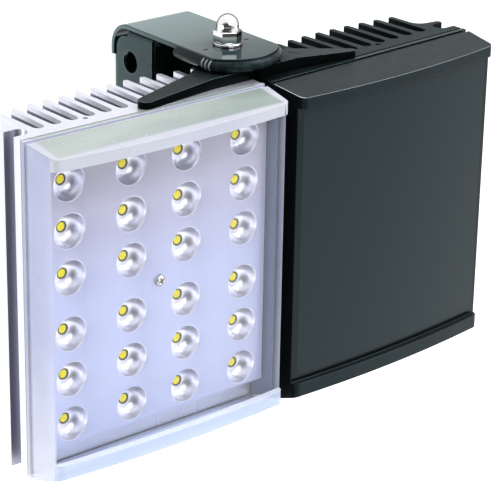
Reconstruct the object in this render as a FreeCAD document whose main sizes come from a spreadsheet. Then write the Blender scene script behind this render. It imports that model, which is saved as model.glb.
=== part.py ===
"""Twin-panel LED illuminator on an adjustable bracket.

Millimetres, +Z up. The origin is the centre of the tilt-bolt bore, midway between the cheeks of the clevis.
+X runs along the bore to the right as seen from the front, and +Y runs to the back.

Three frames are used below:
  panel frame   x across the panel, y = 0 on the heatsink's front face, z = 0 at the centre of the LED array
  hub frame     x and y from the hub bolt's axis, z = 0 on the heatsinks' top ends
  row frame     the frame of the whole part
"""
import FreeCAD
import Part

import math
import os

import Sketcher

V = FreeCAD.Vector

SIZES = [
    ("panel_width", 149.0, "cover rim, side to side"),
    ("panel_height", 180.0, "cover rim and heatsink, top to bottom"),
    ("led_rise", 3.0, "LED array's centre above the panel's mid-height"),
    ("panel_gap", 1.0, "cover rim to the plane between the panels, each side"),
    ("hub_back", 28.5, "heatsink's front face to the hub bolt"),
    ("bore_back", 55.5, "hub bolt to the tilt bore"),
    ("bore_drop", 17.5, "top plate's underside to the tilt bore"),
    ("black_turn", 3.1, "degrees that the black panel is fanned out at rest"),
    ("sink_inset", 0.5, "heatsink's side behind the cover rim"),
    ("sink_base", 8.5, "front face to the roots of the slots"),
    ("fin_depth", 44.5, "front face to the middle fin's tip"),
    ("fin_bow", 357.0, "radius of the line through the fin tips"),
    ("fin_tip", 3.0, "fin's thickness at its tip"),
    ("fin_break", 0.8, "chamfer on the fin tips"),
    ("lug_foot", 5.2, "lug's outer slope, from the outermost fin"),
    ("lug_rise", 1.3, "rise of that slope"),
    ("web_rise", 7.6, "lug's tip to where the fin's side starts"),
    ("web_round", 7.2, "hollow between lug and outermost fin"),
    ("slot_root", 6.2, "slot's width at its round root"),
    ("slot_mouth", 7.3, "slot's width past the fin tips"),
    ("silver_fins", 13.0, "fins of the silver heatsink"),
    ("silver_margin", 13.1, "silver heatsink's side to the outermost fin's middle"),
    ("silver_port", 3.0, "fin pitches from the middle to a screw port, silver"),
    ("black_fins", 12.0, "fins of the black heatsink"),
    ("black_margin", 15.425, "black heatsink's side to the outermost fin's middle"),
    ("black_port", 1.5, "fin pitches from the middle to a screw port, black"),
    ("port_radius", 1.5, "screw port in a fin's root"),
    ("port_back", 7.8, "front face to the screw port's centre"),
    ("groove_front", 5.5, "front face to the side channel"),
    ("groove_radius", 4.4, "half the side channel's mouth"),
    ("groove_depth", 5.8, "heatsink's side to the channel's centre"),
    ("lug_end", 16.2, "front face to the end of the side lug's flat"),
    ("lug_round", 1.5, "rounding of the side lug's tip"),
    ("seal_thick", 1.0, "gasket between heatsink and cover"),
    ("seal_inset", 1.0, "gasket's outer edge inside the cover rim"),
    ("seal_band", 3.1, "gasket's and rim's inner edge inside the cover rim"),
    ("rim_thick", 2.5, "cover's rim"),
    ("neck_width", 2.7, "groove between the rim and the cover's box"),
    ("neck_depth", 1.4, "depth of that groove"),
    ("box_inset", 0.4, "cover's box inside the rim, at the groove"),
    ("window_front", 22.6, "heatsink's front face to the window's outside"),
    ("window_half", 72.75, "half the cover's width at the window"),
    ("cover_wall", 2.8, "window and wall thickness"),
    ("visor_front", 26.4, "heatsink's front face to the lips' front"),
    ("visor_top", 83.5, "LED centre to the top lip's upper edge"),
    ("visor_face", 6.3, "height of the top lip's front face"),
    ("sill_top", 77.7, "LED centre down to the bottom lip's upper edge"),
    ("sill_bottom", 85.5, "LED centre down to the bottom lip's lower edge"),
    ("lip_round", 4.0, "rounding of the lips' ends"),
    ("cover_bow", 3.2, "how far the middle of window and lips stands before their ends"),
    ("board_thick", 2.0, "LED board"),
    ("board_half", 69.0, "half the LED board's and reflector's width"),
    ("board_rise", 75.0, "half the LED board's and reflector's height"),
    ("column_middle", 34.5, "between the two middle LED columns"),
    ("column_pitch", 37.2, "middle to outer LED column"),
    ("row_middle", 30.0, "between the two middle LED rows"),
    ("row_pitch", 24.6, "LED row to row above and below the middle"),
    ("led_radius", 3.4, "middle to corner of the square LED package"),
    ("led_thick", 1.2, "LED package"),
    ("lens_radius", 2.3, "LED's lens"),
    ("lens_rise", 1.5, "LED's lens"),
    ("reflector_front", 12.0, "heatsink's front face to the reflector's face"),
    ("cup_mouth", 9.0, "cup's radius at the reflector's face"),
    ("cup_throat", 4.0, "cup's radius round the LED"),
    ("cup_back", 4.4, "heatsink's front face to the cup's throat"),
    ("skirt_wall", 1.5, "reflector's skirt"),
    ("boss_radius", 4.0, "reflector's boss round its centre screw"),
    ("small_screw", 1.5, "radius of the M3 screws"),
    ("small_play", 0.1, "M3 screw in its clearance hole, each side"),
    ("thread_play", 0.02, "screws in their tapped holes, each side"),
    ("tap_past", 1.0, "tapped holes deeper than their screws"),
    ("small_head", 2.9, "head radius of the M3 screws"),
    ("small_head_rise", 2.2, "head height of the M3 pan screws"),
    ("board_screw_length", 8.0, "under the head"),
    ("centre_screw_length", 16.0, "under the head"),
    ("terminal_width", 12.0, "supply terminal"),
    ("terminal_height", 9.0, "supply terminal"),
    ("terminal_depth", 6.5, "supply terminal"),
    ("terminal_drop", 38.0, "LED centre down to the terminal's middle"),
    ("terminal_play", 0.5, "reflector's room round the terminal"),
    ("gland_drop", 56.0, "LED centre down to the cable gland"),
    ("gland_pocket", 13.0, "radius milled out of the fins round the gland"),
    ("gland_seat", 8.2, "front face to the milled seat"),
    ("gland_thread", 6.0, "radius of the gland's thread"),
    ("gland_hex", 8.0, "half the gland's width across flats"),
    ("gland_flange", 5.0, "height of the gland's hexagon"),
    ("gland_neck", 6.0, "height of the gland's neck"),
    ("gland_nut_rise", 11.0, "height of the gland's closed cap"),
    ("gland_end", 2.5, "thickness of that cap's end"),
    ("gland_nut_hex", 7.5, "half the cap's width across flats"),
    ("arm_thick", 5.8, "both arms"),
    ("slide_gap", 0.05, "between flat faces that slide"),
    ("eye_radius", 11.0, "round eye of each arm"),
    ("eye_play", 0.45, "round the other arm's eye"),
    ("pivot_play", 0.05, "hub bolt in the arms, each side"),
    ("arm_split", 2.0, "each arm's front end short of the middle"),
    ("arm_fall", 29.0, "hub bolt to where the arms' top starts to slope down, across"),
    ("arm_tip_thick", 3.8, "both arms at the tip"),
    ("arm_front", 23.2, "hub bolt to the arms' front edge, near the hub"),
    ("arm_waist_front", 23.7, "the same where that edge bends"),
    ("arm_waist", 27.5, "hub bolt to where the front edge bends, across"),
    ("arm_tip_front", 29.7, "hub bolt to the tip's front corner, front to back"),
    ("silver_reach", 73.0, "hub bolt to the silver arm's tip, across"),
    ("silver_shoulder", 32.0, "hub bolt to the silver arm's shoulder, across"),
    ("silver_shoulder_front", 9.3, "hub bolt to that shoulder, front to back"),
    ("silver_tip", 8.6, "width of the silver arm's tip"),
    ("black_reach", 64.5, "hub bolt to the black arm's tip, across"),
    ("black_shoulder", 34.0, "hub bolt to the black arm's shoulder, across"),
    ("black_shoulder_front", 6.5, "hub bolt to that shoulder, front to back"),
    ("black_tip", 5.5, "width of the black arm's tip"),
    ("arm_screw_one", 14.2, "hub bolt to the first arm screw, across"),
    ("arm_screw_one_back", 9.2, "front face to the first arm screw"),
    ("arm_screw_two", 8.7, "hub bolt to the second arm screw, across"),
    ("arm_screw_two_back", 16.9, "front face to the second arm screw"),
    ("arm_screw_length", 14.0, "arm screws, with the head"),
    ("countersink", 1.5, "depth of the arm screws' heads"),
    ("dial_thick", 4.65, "index dial"),
    ("dial_radius", 26.5, "dial and the plate's nose"),
    ("dial_back", 15.0, "hub bolt to the dial's back end"),
    ("dial_shoulder", 8.0, "hub bolt forward to the dial's shoulders"),
    ("notch_width", 1.1, "dial's graduation notches"),
    ("notch_depth", 0.9, "dial's graduation notches"),
    ("notch_step", 6.0, "degrees from notch to notch"),
    ("notch_first", 27.0, "degrees from the cross axis to the first notch"),
    ("plate_half", 21.75, "half the top plate's width"),
    ("plate_thick", 2.5, "top plate"),
    ("plate_end", 72.5, "hub bolt to the plate's back face"),
    ("bend_radius", 14.0, "outside radius of the plate's bend"),
    ("flange_bottom", 6.0, "heatsinks' top down to the plate's back edge"),
    ("tongue_play", 0.05, "plate's tongue to the cheeks' inner faces, each side"),
    ("clevis_thick", 2.5, "tilt clevis"),
    ("clevis_front", 36.5, "hub bolt to the clevis's front edge"),
    ("clevis_back", 67.7, "hub bolt to the clevis's back edge"),
    ("clevis_web", 58.0, "hub bolt to the back edge of the clevis's web"),
    ("clevis_drop", 37.0, "heatsinks' top down to the clevis's lower edge"),
    ("clevis_bend", 3.0, "outside radius of the clevis's bends"),
    ("clevis_relief", 4.0, "cheeks' upper edge behind the web, under it"),
    ("clevis_corner", 8.0, "rounding of the cheeks' corners"),
    ("tilt_bore", 6.0, "radius of the bore for the customer's tilt bolt"),
    ("bolt_radius", 4.0, "M8 hub bolt"),
    ("bolt_flats", 6.5, "half the width across flats of bolt and nut"),
    ("bolt_head", 5.3, "height of the bolt's head"),
    ("bolt_past", 10.5, "bolt's end above the washer"),
    ("bolt_hole_play", 0.2, "hub bolt in dial and plate, each side"),
    ("washer_radius", 7.7, "washers on the hub bolt"),
    ("washer_thick", 1.6, "washers on the hub bolt"),
    ("nut_rise", 6.5, "hexagon of the acorn nut"),
    ("dome_half", 6.0, "radius of the acorn nut's dome"),
    ("nut_height", 15.0, "acorn nut over all"),
    ("nut_bore_play", 0.02, "bolt in the acorn nut, each side"),
]


class Size:
    """A number together with the sheet expression that it comes from."""

    def __init__(self, value, text):
        self.value = value
        self.text = text

    def __add__(self, other):
        return combined(self, "+", other)

    def __radd__(self, other):
        return combined(other, "+", self)

    def __sub__(self, other):
        return combined(self, "-", other)

    def __rsub__(self, other):
        return combined(other, "-", self)

    def __mul__(self, other):
        return combined(self, "*", other)

    def __rmul__(self, other):
        return combined(other, "*", self)

    def __truediv__(self, other):
        return combined(self, "/", other)

    def __neg__(self):
        return combined(0.0, "-", self)


def as_size(number):
    """Takes a Size as it is and a bare number as a constant."""
    if isinstance(number, Size):
        return number
    return Size(float(number), "(%r)" % float(number))


def combined(left, sign, right):
    left = as_size(left)
    right = as_size(right)
    values = {
        "+": lambda: left.value + right.value,
        "-": lambda: left.value - right.value,
        "*": lambda: left.value * right.value,
        "/": lambda: left.value / right.value,
    }
    return Size(values[sign](), "(%s %s %s)" % (left.text, sign, right.text))


def root(size):
    return Size(math.sqrt(size.value), "sqrt(%s)" % size.text)


def slope(across, along):
    """Angle in degrees whose tangent is across / along."""
    ratio = across / along
    return Size(math.degrees(math.atan(ratio.value)), "atan(%s)" % ratio.text)


def sine(degrees):
    degrees = as_size(degrees)
    return Size(math.sin(math.radians(degrees.value)), "sin(%s * 1deg)" % degrees.text)


def cosine(degrees):
    degrees = as_size(degrees)
    return Size(math.cos(math.radians(degrees.value)), "cos(%s * 1deg)" % degrees.text)


class Sheet:
    """The spreadsheet of driving dimensions, read back as Size values."""

    def __init__(self, doc):
        table = doc.addObject("Spreadsheet::Sheet", "Sizes")
        for row, (name, value, note) in enumerate(SIZES, start=1):
            table.set("A%d" % row, note)
            table.set("B%d" % row, repr(value))
            table.setAlias("B%d" % row, name)
            setattr(self, name, Size(value, "Sizes.%s" % name))
        doc.recompute()


doc = FreeCAD.newDocument("Illuminator")
S = Sheet(doc)

# Levels in the panel frame.
panel_top = S.panel_height / 2 - S.led_rise
panel_bottom = -(S.panel_height / 2 + S.led_rise)
sink_half = S.panel_width / 2 - S.sink_inset
hub_side = S.panel_width / 2 + S.panel_gap

# Levels in the hub frame.
dial_bottom = S.arm_thick + S.slide_gap
plate_bottom = dial_bottom + S.dial_thick
plate_top = plate_bottom + S.plate_thick
nut_bottom = plate_top + S.washer_thick
hub_level = S.bore_drop - plate_bottom

# Straight runs that stand for small rounds.
SMALL_SIDES = 6
GLAND_SIDES = 12
ROOT_RUNS = 5
DOME_RUNS = 2

NODES = []


def bind(obj, field, size):
    """Drives one property from the sheet."""
    obj.setExpression(field, as_size(size).text)


def put(obj, x, y, z, turn=0.0):
    """Places an object, turned about the vertical."""
    turn = as_size(turn)
    obj.Placement.Rotation = FreeCAD.Rotation(V(0, 0, 1), turn.value)
    bind(obj, ".Placement.Base.x", x)
    bind(obj, ".Placement.Base.y", y)
    bind(obj, ".Placement.Base.z", z)
    if turn.value:
        bind(obj, ".Placement.Rotation.Angle", turn)


def put_on_hub(obj, turn=0.0):
    """Row place of a piece that is drawn in the hub frame."""
    put(obj, 0.0, -S.bore_back, hub_level, turn)


def put_on_panel(obj, side):
    """Row place of a piece drawn in a panel frame: side is 1 for silver and -1 for black."""
    level = hub_level - panel_top
    if side > 0:
        put(obj, -hub_side, -S.bore_back - S.hub_back, level)
        return
    across = hub_side * cosine(S.black_turn) + S.hub_back * sine(S.black_turn)
    back = hub_side * sine(S.black_turn) - S.hub_back * cosine(S.black_turn)
    put(obj, across, back - S.bore_back, level, S.black_turn)


def new_body(label, several=False):
    body = doc.addObject("PartDesign::Body", label)
    body.Label = label
    body.AllowCompound = several
    NODES.append(body)
    return body


def sketch(body, role, level=0.0):
    """Sketch on one of the body's origin planes, moved along its normal."""
    made = body.newObject("Sketcher::SketchObject", body.Label + "_sketch")
    plane = [item for item in body.Origin.OriginFeatures if item.Role == role][0]
    made.AttachmentSupport = [(plane, "")]
    made.MapMode = "FlatFace"
    bind(made, "AttachmentOffset.Base.z", level)
    return made


def fix_point(made, geo, end, x, y):
    """Ties one point of a sketch to the sketch's origin."""
    for kind, axis, size in (("DistanceX", -2, as_size(x)), ("DistanceY", -1, as_size(y))):
        if size.value == 0.0:
            made.addConstraint(Sketcher.Constraint("PointOnObject", geo, end, axis))
            continue
        index = made.addConstraint(Sketcher.Constraint(kind, -1, 1, geo, end, size.value))
        bind(made, "Constraints[%d]" % index, size)


def arc_between(start, stop, radius):
    """Arc from start to stop; a positive radius turns left, a negative one right."""
    middle = (start + stop) * 0.5
    chord = stop - start
    rise = math.sqrt(max(radius * radius - chord.Length ** 2 / 4, 0.0))
    across = V(-chord.y, chord.x, 0).normalize() * math.copysign(rise, radius)
    centre = middle + across
    first, last = (start, stop) if radius > 0 else (stop, start)
    circle = Part.Circle(centre, V(0, 0, 1), abs(radius))
    begin = math.atan2(first.y - centre.y, first.x - centre.x)
    end = math.atan2(last.y - centre.y, last.x - centre.x)
    if end <= begin:
        end += 2 * math.pi
    return Part.ArcOfCircle(circle, begin, end), rise


def outline(made, points):
    """Closed outline. A point is (x, y), or (x, y, radius) where an arc leads to it."""
    corners = [V(as_size(p[0]).value, as_size(p[1]).value, 0) for p in points]
    count = len(points)
    ends = []
    for i in range(count):
        follower = (i + 1) % count
        start, stop = corners[i], corners[follower]
        if len(points[follower]) == 2:
            geo = made.addGeometry(Part.LineSegment(start, stop))
            ends.append((geo, 1, 2))
            continue
        radius = as_size(points[follower][2])
        arc, rise = arc_between(start, stop, radius.value)
        geo = made.addGeometry(arc)
        ends.append((geo, 1, 2) if radius.value > 0 else (geo, 2, 1))
    for i in range(count):
        follower = (i + 1) % count
        geo, begin, end = ends[i]
        next_geo, next_begin, next_end = ends[follower]
        made.addConstraint(Sketcher.Constraint("Coincident", geo, end, next_geo, next_begin))
        fix_point(made, geo, begin, points[i][0], points[i][1])
    for i in range(count):
        follower = (i + 1) % count
        if len(points[follower]) == 3:
            radius = as_size(points[follower][2])
            size = radius if radius.value > 0 else -radius
            index = made.addConstraint(Sketcher.Constraint("Radius", ends[i][0], size.value))
            bind(made, "Constraints[%d]" % index, size)
    return made


def circle(made, x, y, radius):
    x, y, radius = as_size(x), as_size(y), as_size(radius)
    geo = made.addGeometry(Part.Circle(V(x.value, y.value, 0), V(0, 0, 1), radius.value))
    fix_point(made, geo, 3, x, y)
    index = made.addConstraint(Sketcher.Constraint("Radius", geo, radius.value))
    bind(made, "Constraints[%d]" % index, radius)
    return made


def rectangle(made, x0, x1, y0, y1):
    return outline(made, [(x0, y0), (x1, y0), (x1, y1), (x0, y1)])


def polygon(made, sides, radius, x=0.0, y=0.0):
    """Regular polygon with a flat at each end of its x axis, by the radius through its corners."""
    points = []
    for step in range(sides):
        angle = 360.0 / sides * (step + 0.5)
        points.append((x + radius * cosine(angle), y + radius * sine(angle)))
    return outline(made, points)


def hexagon(made, half_flats, x=0.0, y=0.0):
    return polygon(made, 6, half_flats * 2 / root(as_size(3.0)), x, y)


def pad(body, profile, length, reverse=False, both=False):
    made = body.newObject("PartDesign::Pad", body.Label + "_pad")
    made.Profile = profile
    made.Reversed = reverse
    made.SideType = "Symmetric" if both else "One side"
    bind(made, "Length", length)
    doc.recompute()
    return made


def pocket(body, profile, length=None, reverse=False, both=False):
    """Cut against the sketch's normal, right through where no length is given."""
    before = body.Shape.Volume
    made = body.newObject("PartDesign::Pocket", body.Label + "_pocket")
    made.Profile = profile
    made.Reversed = reverse
    made.SideType = "Symmetric" if both else "One side"
    if length is None:
        made.Type = "ThroughAll"
    else:
        bind(made, "Length", length)
    doc.recompute()
    if not body.Shape.Volume < before - 1e-6:
        raise RuntimeError("a pocket of %s cuts nothing" % body.Label)
    return made


def origin_item(body, role):
    return [item for item in body.Origin.OriginFeatures if item.Role == role][0]


def linear(body, role, pitch, count):
    made = body.newObject("PartDesign::LinearPattern", body.Label + "_row")
    made.Direction = (origin_item(body, role), [""])
    made.Mode = "Spacing"
    bind(made, "Offset", pitch)
    bind(made, "Occurrences", count)
    return made


def mirror(body, role):
    made = body.newObject("PartDesign::Mirrored", body.Label + "_mirror")
    made.MirrorPlane = (origin_item(body, role), [""])
    return made


def pattern(body, originals, steps):
    """Applies one or more patterns, one after the other, to the given features."""
    if len(steps) == 1:
        made = steps[0]
        made.Originals = originals
    else:
        made = body.newObject("PartDesign::MultiTransform", body.Label + "_pattern")
        made.Originals = originals
        made.Transformations = steps
    body.Tip = made
    doc.recompute()
    return made


def array_of_leds(body, originals):
    """Repeats what is drawn at one LED next to the middle over the whole 4 by 6 array."""
    steps = [
        linear(body, "X_Axis", S.column_pitch, 2),
        linear(body, "Z_Axis", S.row_pitch, 3),
        mirror(body, "YZ_Plane"),
        mirror(body, "XY_Plane"),
    ]
    return pattern(body, originals, steps)


def broken_edges(body, size, wanted):
    """Chamfers the edges that the test picks."""
    base = body.Tip
    names = ["Edge%d" % (i + 1) for i, edge in enumerate(body.Shape.Edges) if wanted(edge)]
    made = body.newObject("PartDesign::Chamfer", body.Label + "_chamfer")
    made.Base = (base, names)
    bind(made, "Size", size)
    doc.recompute()
    return made


def loft(body, sections):
    """Straight-sided cut through two sketches."""
    made = body.newObject("PartDesign::SubtractiveLoft", body.Label + "_loft")
    made.Profile = sections[0]
    made.Sections = sections[1:]
    made.Ruled = True
    doc.recompute()
    return made


def flared(body, angle, neutral, wanted):
    """Tilts the faces that the test picks outwards from a neutral face."""
    before = body.Shape.Volume
    base = body.Tip
    faces = list(enumerate(body.Shape.Faces, start=1))
    made = body.newObject("PartDesign::Draft", body.Label + "_draft")
    made.Base = (base, ["Face%d" % i for i, face in faces if wanted(face)])
    made.NeutralPlane = (base, ["Face%d" % i for i, face in faces if neutral(face)][:1])
    made.Reversed = True
    doc.recompute()
    bind(made, "Angle", angle)
    doc.recompute()
    if not body.Shape.Volume < before - 1e-6:
        raise RuntimeError("the draft of %s opens nothing" % body.Label)
    return made


def is_upright(edge):
    return isinstance(edge.Curve, Part.Line) and abs(edge.tangentAt(edge.FirstParameter).z) > 0.999


def board_screw_places():
    """The four board screws, each in the middle of four LEDs."""
    across = (S.column_middle + S.column_pitch) / 2
    up = (S.row_middle + S.row_pitch) / 2
    return [(across, up), (-across, up), (-across, -up), (across, -up)]


def arm_screw_places(side):
    """The two arm screws in the panel frame, on the hub's side of the panel."""
    return [
        ((hub_side - S.arm_screw_one) * side, S.arm_screw_one_back),
        ((hub_side - S.arm_screw_two) * side, S.arm_screw_two_back),
    ]


def heatsink(label, side, fins, margin, port):
    """Extruded heatsink: bowed fins at the back and an open channel down each side."""
    body = new_body(label)
    pitch = (sink_half - margin) * 2 / (fins - 1)
    groove_x = sink_half - S.groove_depth
    groove_back = S.groove_front + S.groove_radius * 2
    fin_side = (fins - 1) / 2 * pitch + S.fin_tip / 2
    fin_end = S.fin_depth - S.fin_bow + root(S.fin_bow * S.fin_bow - fin_side * fin_side)
    lug_top = S.lug_end + S.lug_round
    right = [
        (sink_half, 0.0),
        (sink_half, S.groove_front),
        (groove_x, S.groove_front),
        (groove_x - S.groove_radius, S.groove_front + S.groove_radius, -S.groove_radius),
        (groove_x, groove_back, -S.groove_radius),
        (sink_half, groove_back),
        (sink_half, S.lug_end),
        (sink_half - S.lug_round, lug_top, S.lug_round),
        (fin_side + S.lug_foot, lug_top + S.lug_rise),
        (fin_side, lug_top + S.web_rise, -S.web_round),
        (fin_side, fin_end),
    ]
    left = [(-fin_side, fin_end, S.fin_bow)]
    for i in range(len(right) - 1, 0, -1):
        left.append((-right[i - 1][0], right[i - 1][1]) + right[i][2:])
    profile = outline(sketch(body, "XY_Plane", panel_top), right + left)
    pad(body, profile, S.panel_height, reverse=True)

    first = -(fins - 2) / 2 * pitch
    half_root = S.slot_root / 2
    half_mouth = S.slot_mouth / 2
    root_end = S.sink_base + half_root
    mouth = S.fin_depth + S.fin_tip
    points = [(first + half_mouth, mouth), (first - half_mouth, mouth)]
    for step in range(ROOT_RUNS + 1):
        angle = 180.0 / ROOT_RUNS * step
        points.append((first - half_root * cosine(angle), root_end - half_root * sine(angle)))
    cut = pocket(body, outline(sketch(body, "XY_Plane", panel_top), points))
    pattern(body, [cut], [linear(body, "X_Axis", pitch, fins - 1)])
    broken_edges(body, S.fin_break, lambda e: is_upright(e) and e.CenterOfMass.y > fin_end.value - 0.1)

    ports = sketch(body, "XY_Plane", panel_top)
    polygon(ports, SMALL_SIDES, S.port_radius, port * pitch, S.port_back)
    polygon(ports, SMALL_SIDES, S.port_radius, -port * pitch, S.port_back)
    pocket(body, ports)
    tap = S.small_screw + S.thread_play
    arm_taps = sketch(body, "XY_Plane", panel_top)
    for x, y in arm_screw_places(side):
        polygon(arm_taps, SMALL_SIDES, tap, x, y)
    pocket(body, arm_taps, S.arm_screw_length - S.arm_thick + S.tap_past)
    front_taps = sketch(body, "XZ_Plane")
    for x, z in board_screw_places():
        polygon(front_taps, SMALL_SIDES, tap, x, z)
    pocket(body, front_taps, S.board_screw_length - S.board_thick + S.tap_past)
    centre_tap = polygon(sketch(body, "XZ_Plane"), SMALL_SIDES, tap)
    pocket(body, centre_tap, S.centre_screw_length - S.reflector_front + S.tap_past)

    milled = sketch(body, "XZ_Plane", -S.gland_seat)
    polygon(milled, GLAND_SIDES, S.gland_pocket, 0.0, -S.gland_drop)
    pocket(body, milled, S.fin_depth)
    gland_hole = sketch(body, "XZ_Plane")
    polygon(gland_hole, GLAND_SIDES, S.gland_thread + S.thread_play, 0.0, -S.gland_drop)
    pocket(body, gland_hole, S.gland_seat + S.tap_past)
    put_on_panel(body, side)


def gasket(label, side):
    """Flat ring between the heatsink's face and the cover's rim."""
    body = new_body(label)
    ring = sketch(body, "XZ_Plane")
    outer = S.panel_width / 2 - S.seal_inset
    inner = S.panel_width / 2 - S.seal_band
    rectangle(ring, -outer, outer, panel_bottom + S.seal_inset, panel_top - S.seal_inset)
    rectangle(ring, -inner, inner, panel_bottom + S.seal_band, panel_top - S.seal_band)
    pad(body, ring, S.seal_thick)
    put_on_panel(body, side)


def cover(label, side):
    """Moulded cover: rim, groove and drafted box, with a bowed window between a top and a bottom lip."""
    body = new_body(label)
    back = -S.seal_thick
    rim = back - S.rim_thick
    neck = rim - S.neck_width
    front = -(S.visor_front + S.cover_bow + S.cover_wall)
    slope = (panel_top - S.box_inset - S.visor_top) / (neck + S.visor_front)
    section = outline(sketch(body, "YZ_Plane"), [
        (back, panel_bottom),
        (back, panel_top),
        (rim, panel_top),
        (rim, panel_top - S.neck_depth),
        (neck, panel_top - S.neck_depth),
        (neck, panel_top - S.box_inset),
        (front, panel_top - S.box_inset - slope * (neck - front)),
        (front, -S.sill_bottom),
        (-S.visor_front, -S.sill_bottom),
        (neck, panel_bottom + S.box_inset),
        (neck, panel_bottom + S.neck_depth),
        (rim, panel_bottom + S.neck_depth),
        (rim, panel_bottom),
    ])
    pad(body, section, S.panel_width, both=True)

    edge = S.panel_width / 2
    corner = S.window_half - S.lip_round
    outside = edge + S.lip_round
    before = front - S.cover_wall
    flank = outline(sketch(body, "XY_Plane"), [
        (outside, rim),
        (edge - S.neck_depth, rim),
        (edge - S.neck_depth, neck),
        (edge - S.box_inset, neck),
        (S.window_half, S.lip_round - S.visor_front),
        (corner, -S.visor_front, -S.lip_round),
        (0.0, -S.visor_front - S.cover_bow, -bow_radius(corner)),
        (0.0, before),
        (outside, before),
    ])
    cut = pocket(body, flank, S.panel_height * 2, both=True)
    pattern(body, [cut], [mirror(body, "YZ_Plane")])

    visor_under = S.visor_top - S.visor_face
    recess = bowed_front(body, visor_under, outside, S.window_front, before)
    pocket(body, recess, visor_under + S.sill_top)

    inner = edge - S.seal_band
    slim = S.window_half - S.cover_wall
    room_front = S.window_front - S.cover_wall
    room_top = S.visor_top - S.cover_wall
    room_bottom = S.cover_wall - S.sill_bottom
    rear = sketch(body, "XZ_Plane", S.seal_thick)
    rectangle(rear, -inner, inner, panel_bottom + S.seal_band, panel_top - S.seal_band)
    far = sketch(body, "XZ_Plane", room_front)
    rectangle(far, -slim, slim, room_bottom, room_top)
    loft(body, [rear, far])
    room = outline(sketch(body, "XY_Plane", room_top), [
        (-slim, -room_front),
        (0.0, -room_front - S.cover_bow, bow_radius(slim)),
        (slim, -room_front, bow_radius(slim)),
    ])
    pocket(body, room, room_top - room_bottom)
    put_on_panel(body, side)


def bow_radius(half):
    """Radius of the cover's bow over a given half width."""
    return (half * half + S.cover_bow * S.cover_bow) / (S.cover_bow * 2)


def bowed_front(body, level, outside, depth, before):
    """Plan of all that lies in front of a bowed face, out past both sides."""
    return outline(sketch(body, "XY_Plane", level), [
        (-outside, before),
        (-outside, -depth),
        (-S.window_half, -depth),
        (0.0, -depth - S.cover_bow, bow_radius(S.window_half)),
        (S.window_half, -depth, bow_radius(S.window_half)),
        (outside, -depth),
        (outside, before),
    ])


def led_board(label, side):
    """Metal-core board flat on the heatsink, with its screw holes and the cable hole."""
    body = new_body(label)
    face = rectangle(sketch(body, "XZ_Plane"), -S.board_half, S.board_half, -S.board_rise, S.board_rise)
    for x, z in board_screw_places() + [(0.0, 0.0)]:
        polygon(face, SMALL_SIDES, S.small_screw + S.small_play, x, z)
    polygon(face, GLAND_SIDES, S.gland_thread, 0.0, -S.gland_drop)
    pad(body, face, S.board_thick)
    put_on_panel(body, side)


def leds(label, side):
    """The 24 LEDs: a package with a lens each, drawn once and repeated."""
    body = new_body(label, several=True)
    x, z = S.column_middle / 2, S.row_middle / 2
    shelf = S.board_thick + S.led_thick
    base = pad(body, polygon(sketch(body, "XZ_Plane", S.board_thick), 4, S.led_radius, x, z), S.led_thick)
    lens = pad(body, polygon(sketch(body, "XZ_Plane", shelf), 6, S.lens_radius, x, z), S.lens_rise)
    array_of_leds(body, [base, lens])
    put_on_panel(body, side)


def reflector(label, side, sides):
    """Moulded reflector with 24 flared cups, a skirt down to the board and a boss for its screw."""
    body = new_body(label)
    half, rise = S.board_half, S.board_rise
    deep = S.reflector_front - S.cup_back
    face = rectangle(sketch(body, "XZ_Plane", S.cup_back), -half, half, -rise, rise)
    pad(body, face, deep)
    x, z = S.column_middle / 2, S.row_middle / 2
    cup = polygon(sketch(body, "XZ_Plane", S.reflector_front), sides, S.cup_throat, x, z)
    array_of_leds(body, [pocket(body, cup, deep)])
    flare = slope((S.cup_mouth - S.cup_throat) * cosine(180.0 / sides), deep)
    edge_x, edge_z = half.value - 0.1, rise.value - 0.1

    def is_cup(face):
        centre = face.CenterOfMass
        return abs(face.normalAt(0, 0).y) < 0.01 and abs(centre.x) < edge_x and abs(centre.z) < edge_z

    flared(body, flare, lambda face: face.normalAt(0, 0).y > 0.99, is_cup)

    skirt = rectangle(sketch(body, "XZ_Plane", S.board_thick), -half, half, -rise, rise)
    half_in, rise_in = half - S.skirt_wall, rise - S.skirt_wall
    rectangle(skirt, -half_in, half_in, -rise_in, rise_in)
    pad(body, skirt, S.cup_back - S.board_thick)
    boss = polygon(sketch(body, "XZ_Plane", S.board_thick), SMALL_SIDES, S.boss_radius)
    pad(body, boss, S.cup_back - S.board_thick)
    through = polygon(sketch(body, "XZ_Plane", S.reflector_front), SMALL_SIDES, S.small_screw + S.small_play)
    pocket(body, through)
    depth = S.board_thick + S.terminal_depth + S.terminal_play
    room = sketch(body, "XZ_Plane", depth)
    wide = S.terminal_width / 2 + S.terminal_play
    tall = S.terminal_height / 2 + S.terminal_play
    rectangle(room, -wide, wide, -S.terminal_drop - tall, tall - S.terminal_drop)
    pocket(body, room, depth - S.cup_back)
    put_on_panel(body, side)


def pan_screws(label, side, places, seat, length):
    """Pan-head screws along the panel's depth, with their heads in front of the seat."""
    body = new_body(label, several=True)
    heads = sketch(body, "XZ_Plane", seat)
    shanks = sketch(body, "XZ_Plane", seat)
    for x, z in places:
        polygon(heads, SMALL_SIDES, S.small_head, x, z)
        polygon(shanks, SMALL_SIDES, S.small_screw, x, z)
    pad(body, heads, S.small_head_rise)
    pad(body, shanks, length, reverse=True)
    put_on_panel(body, side)


def terminal(label, side):
    """Supply terminal block on the board."""
    body = new_body(label)
    half = S.terminal_width / 2
    low = -S.terminal_drop - S.terminal_height / 2
    block = rectangle(sketch(body, "XZ_Plane", S.board_thick), -half, half, low, low + S.terminal_height)
    pad(body, block, S.terminal_depth)
    put_on_panel(body, side)


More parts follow.
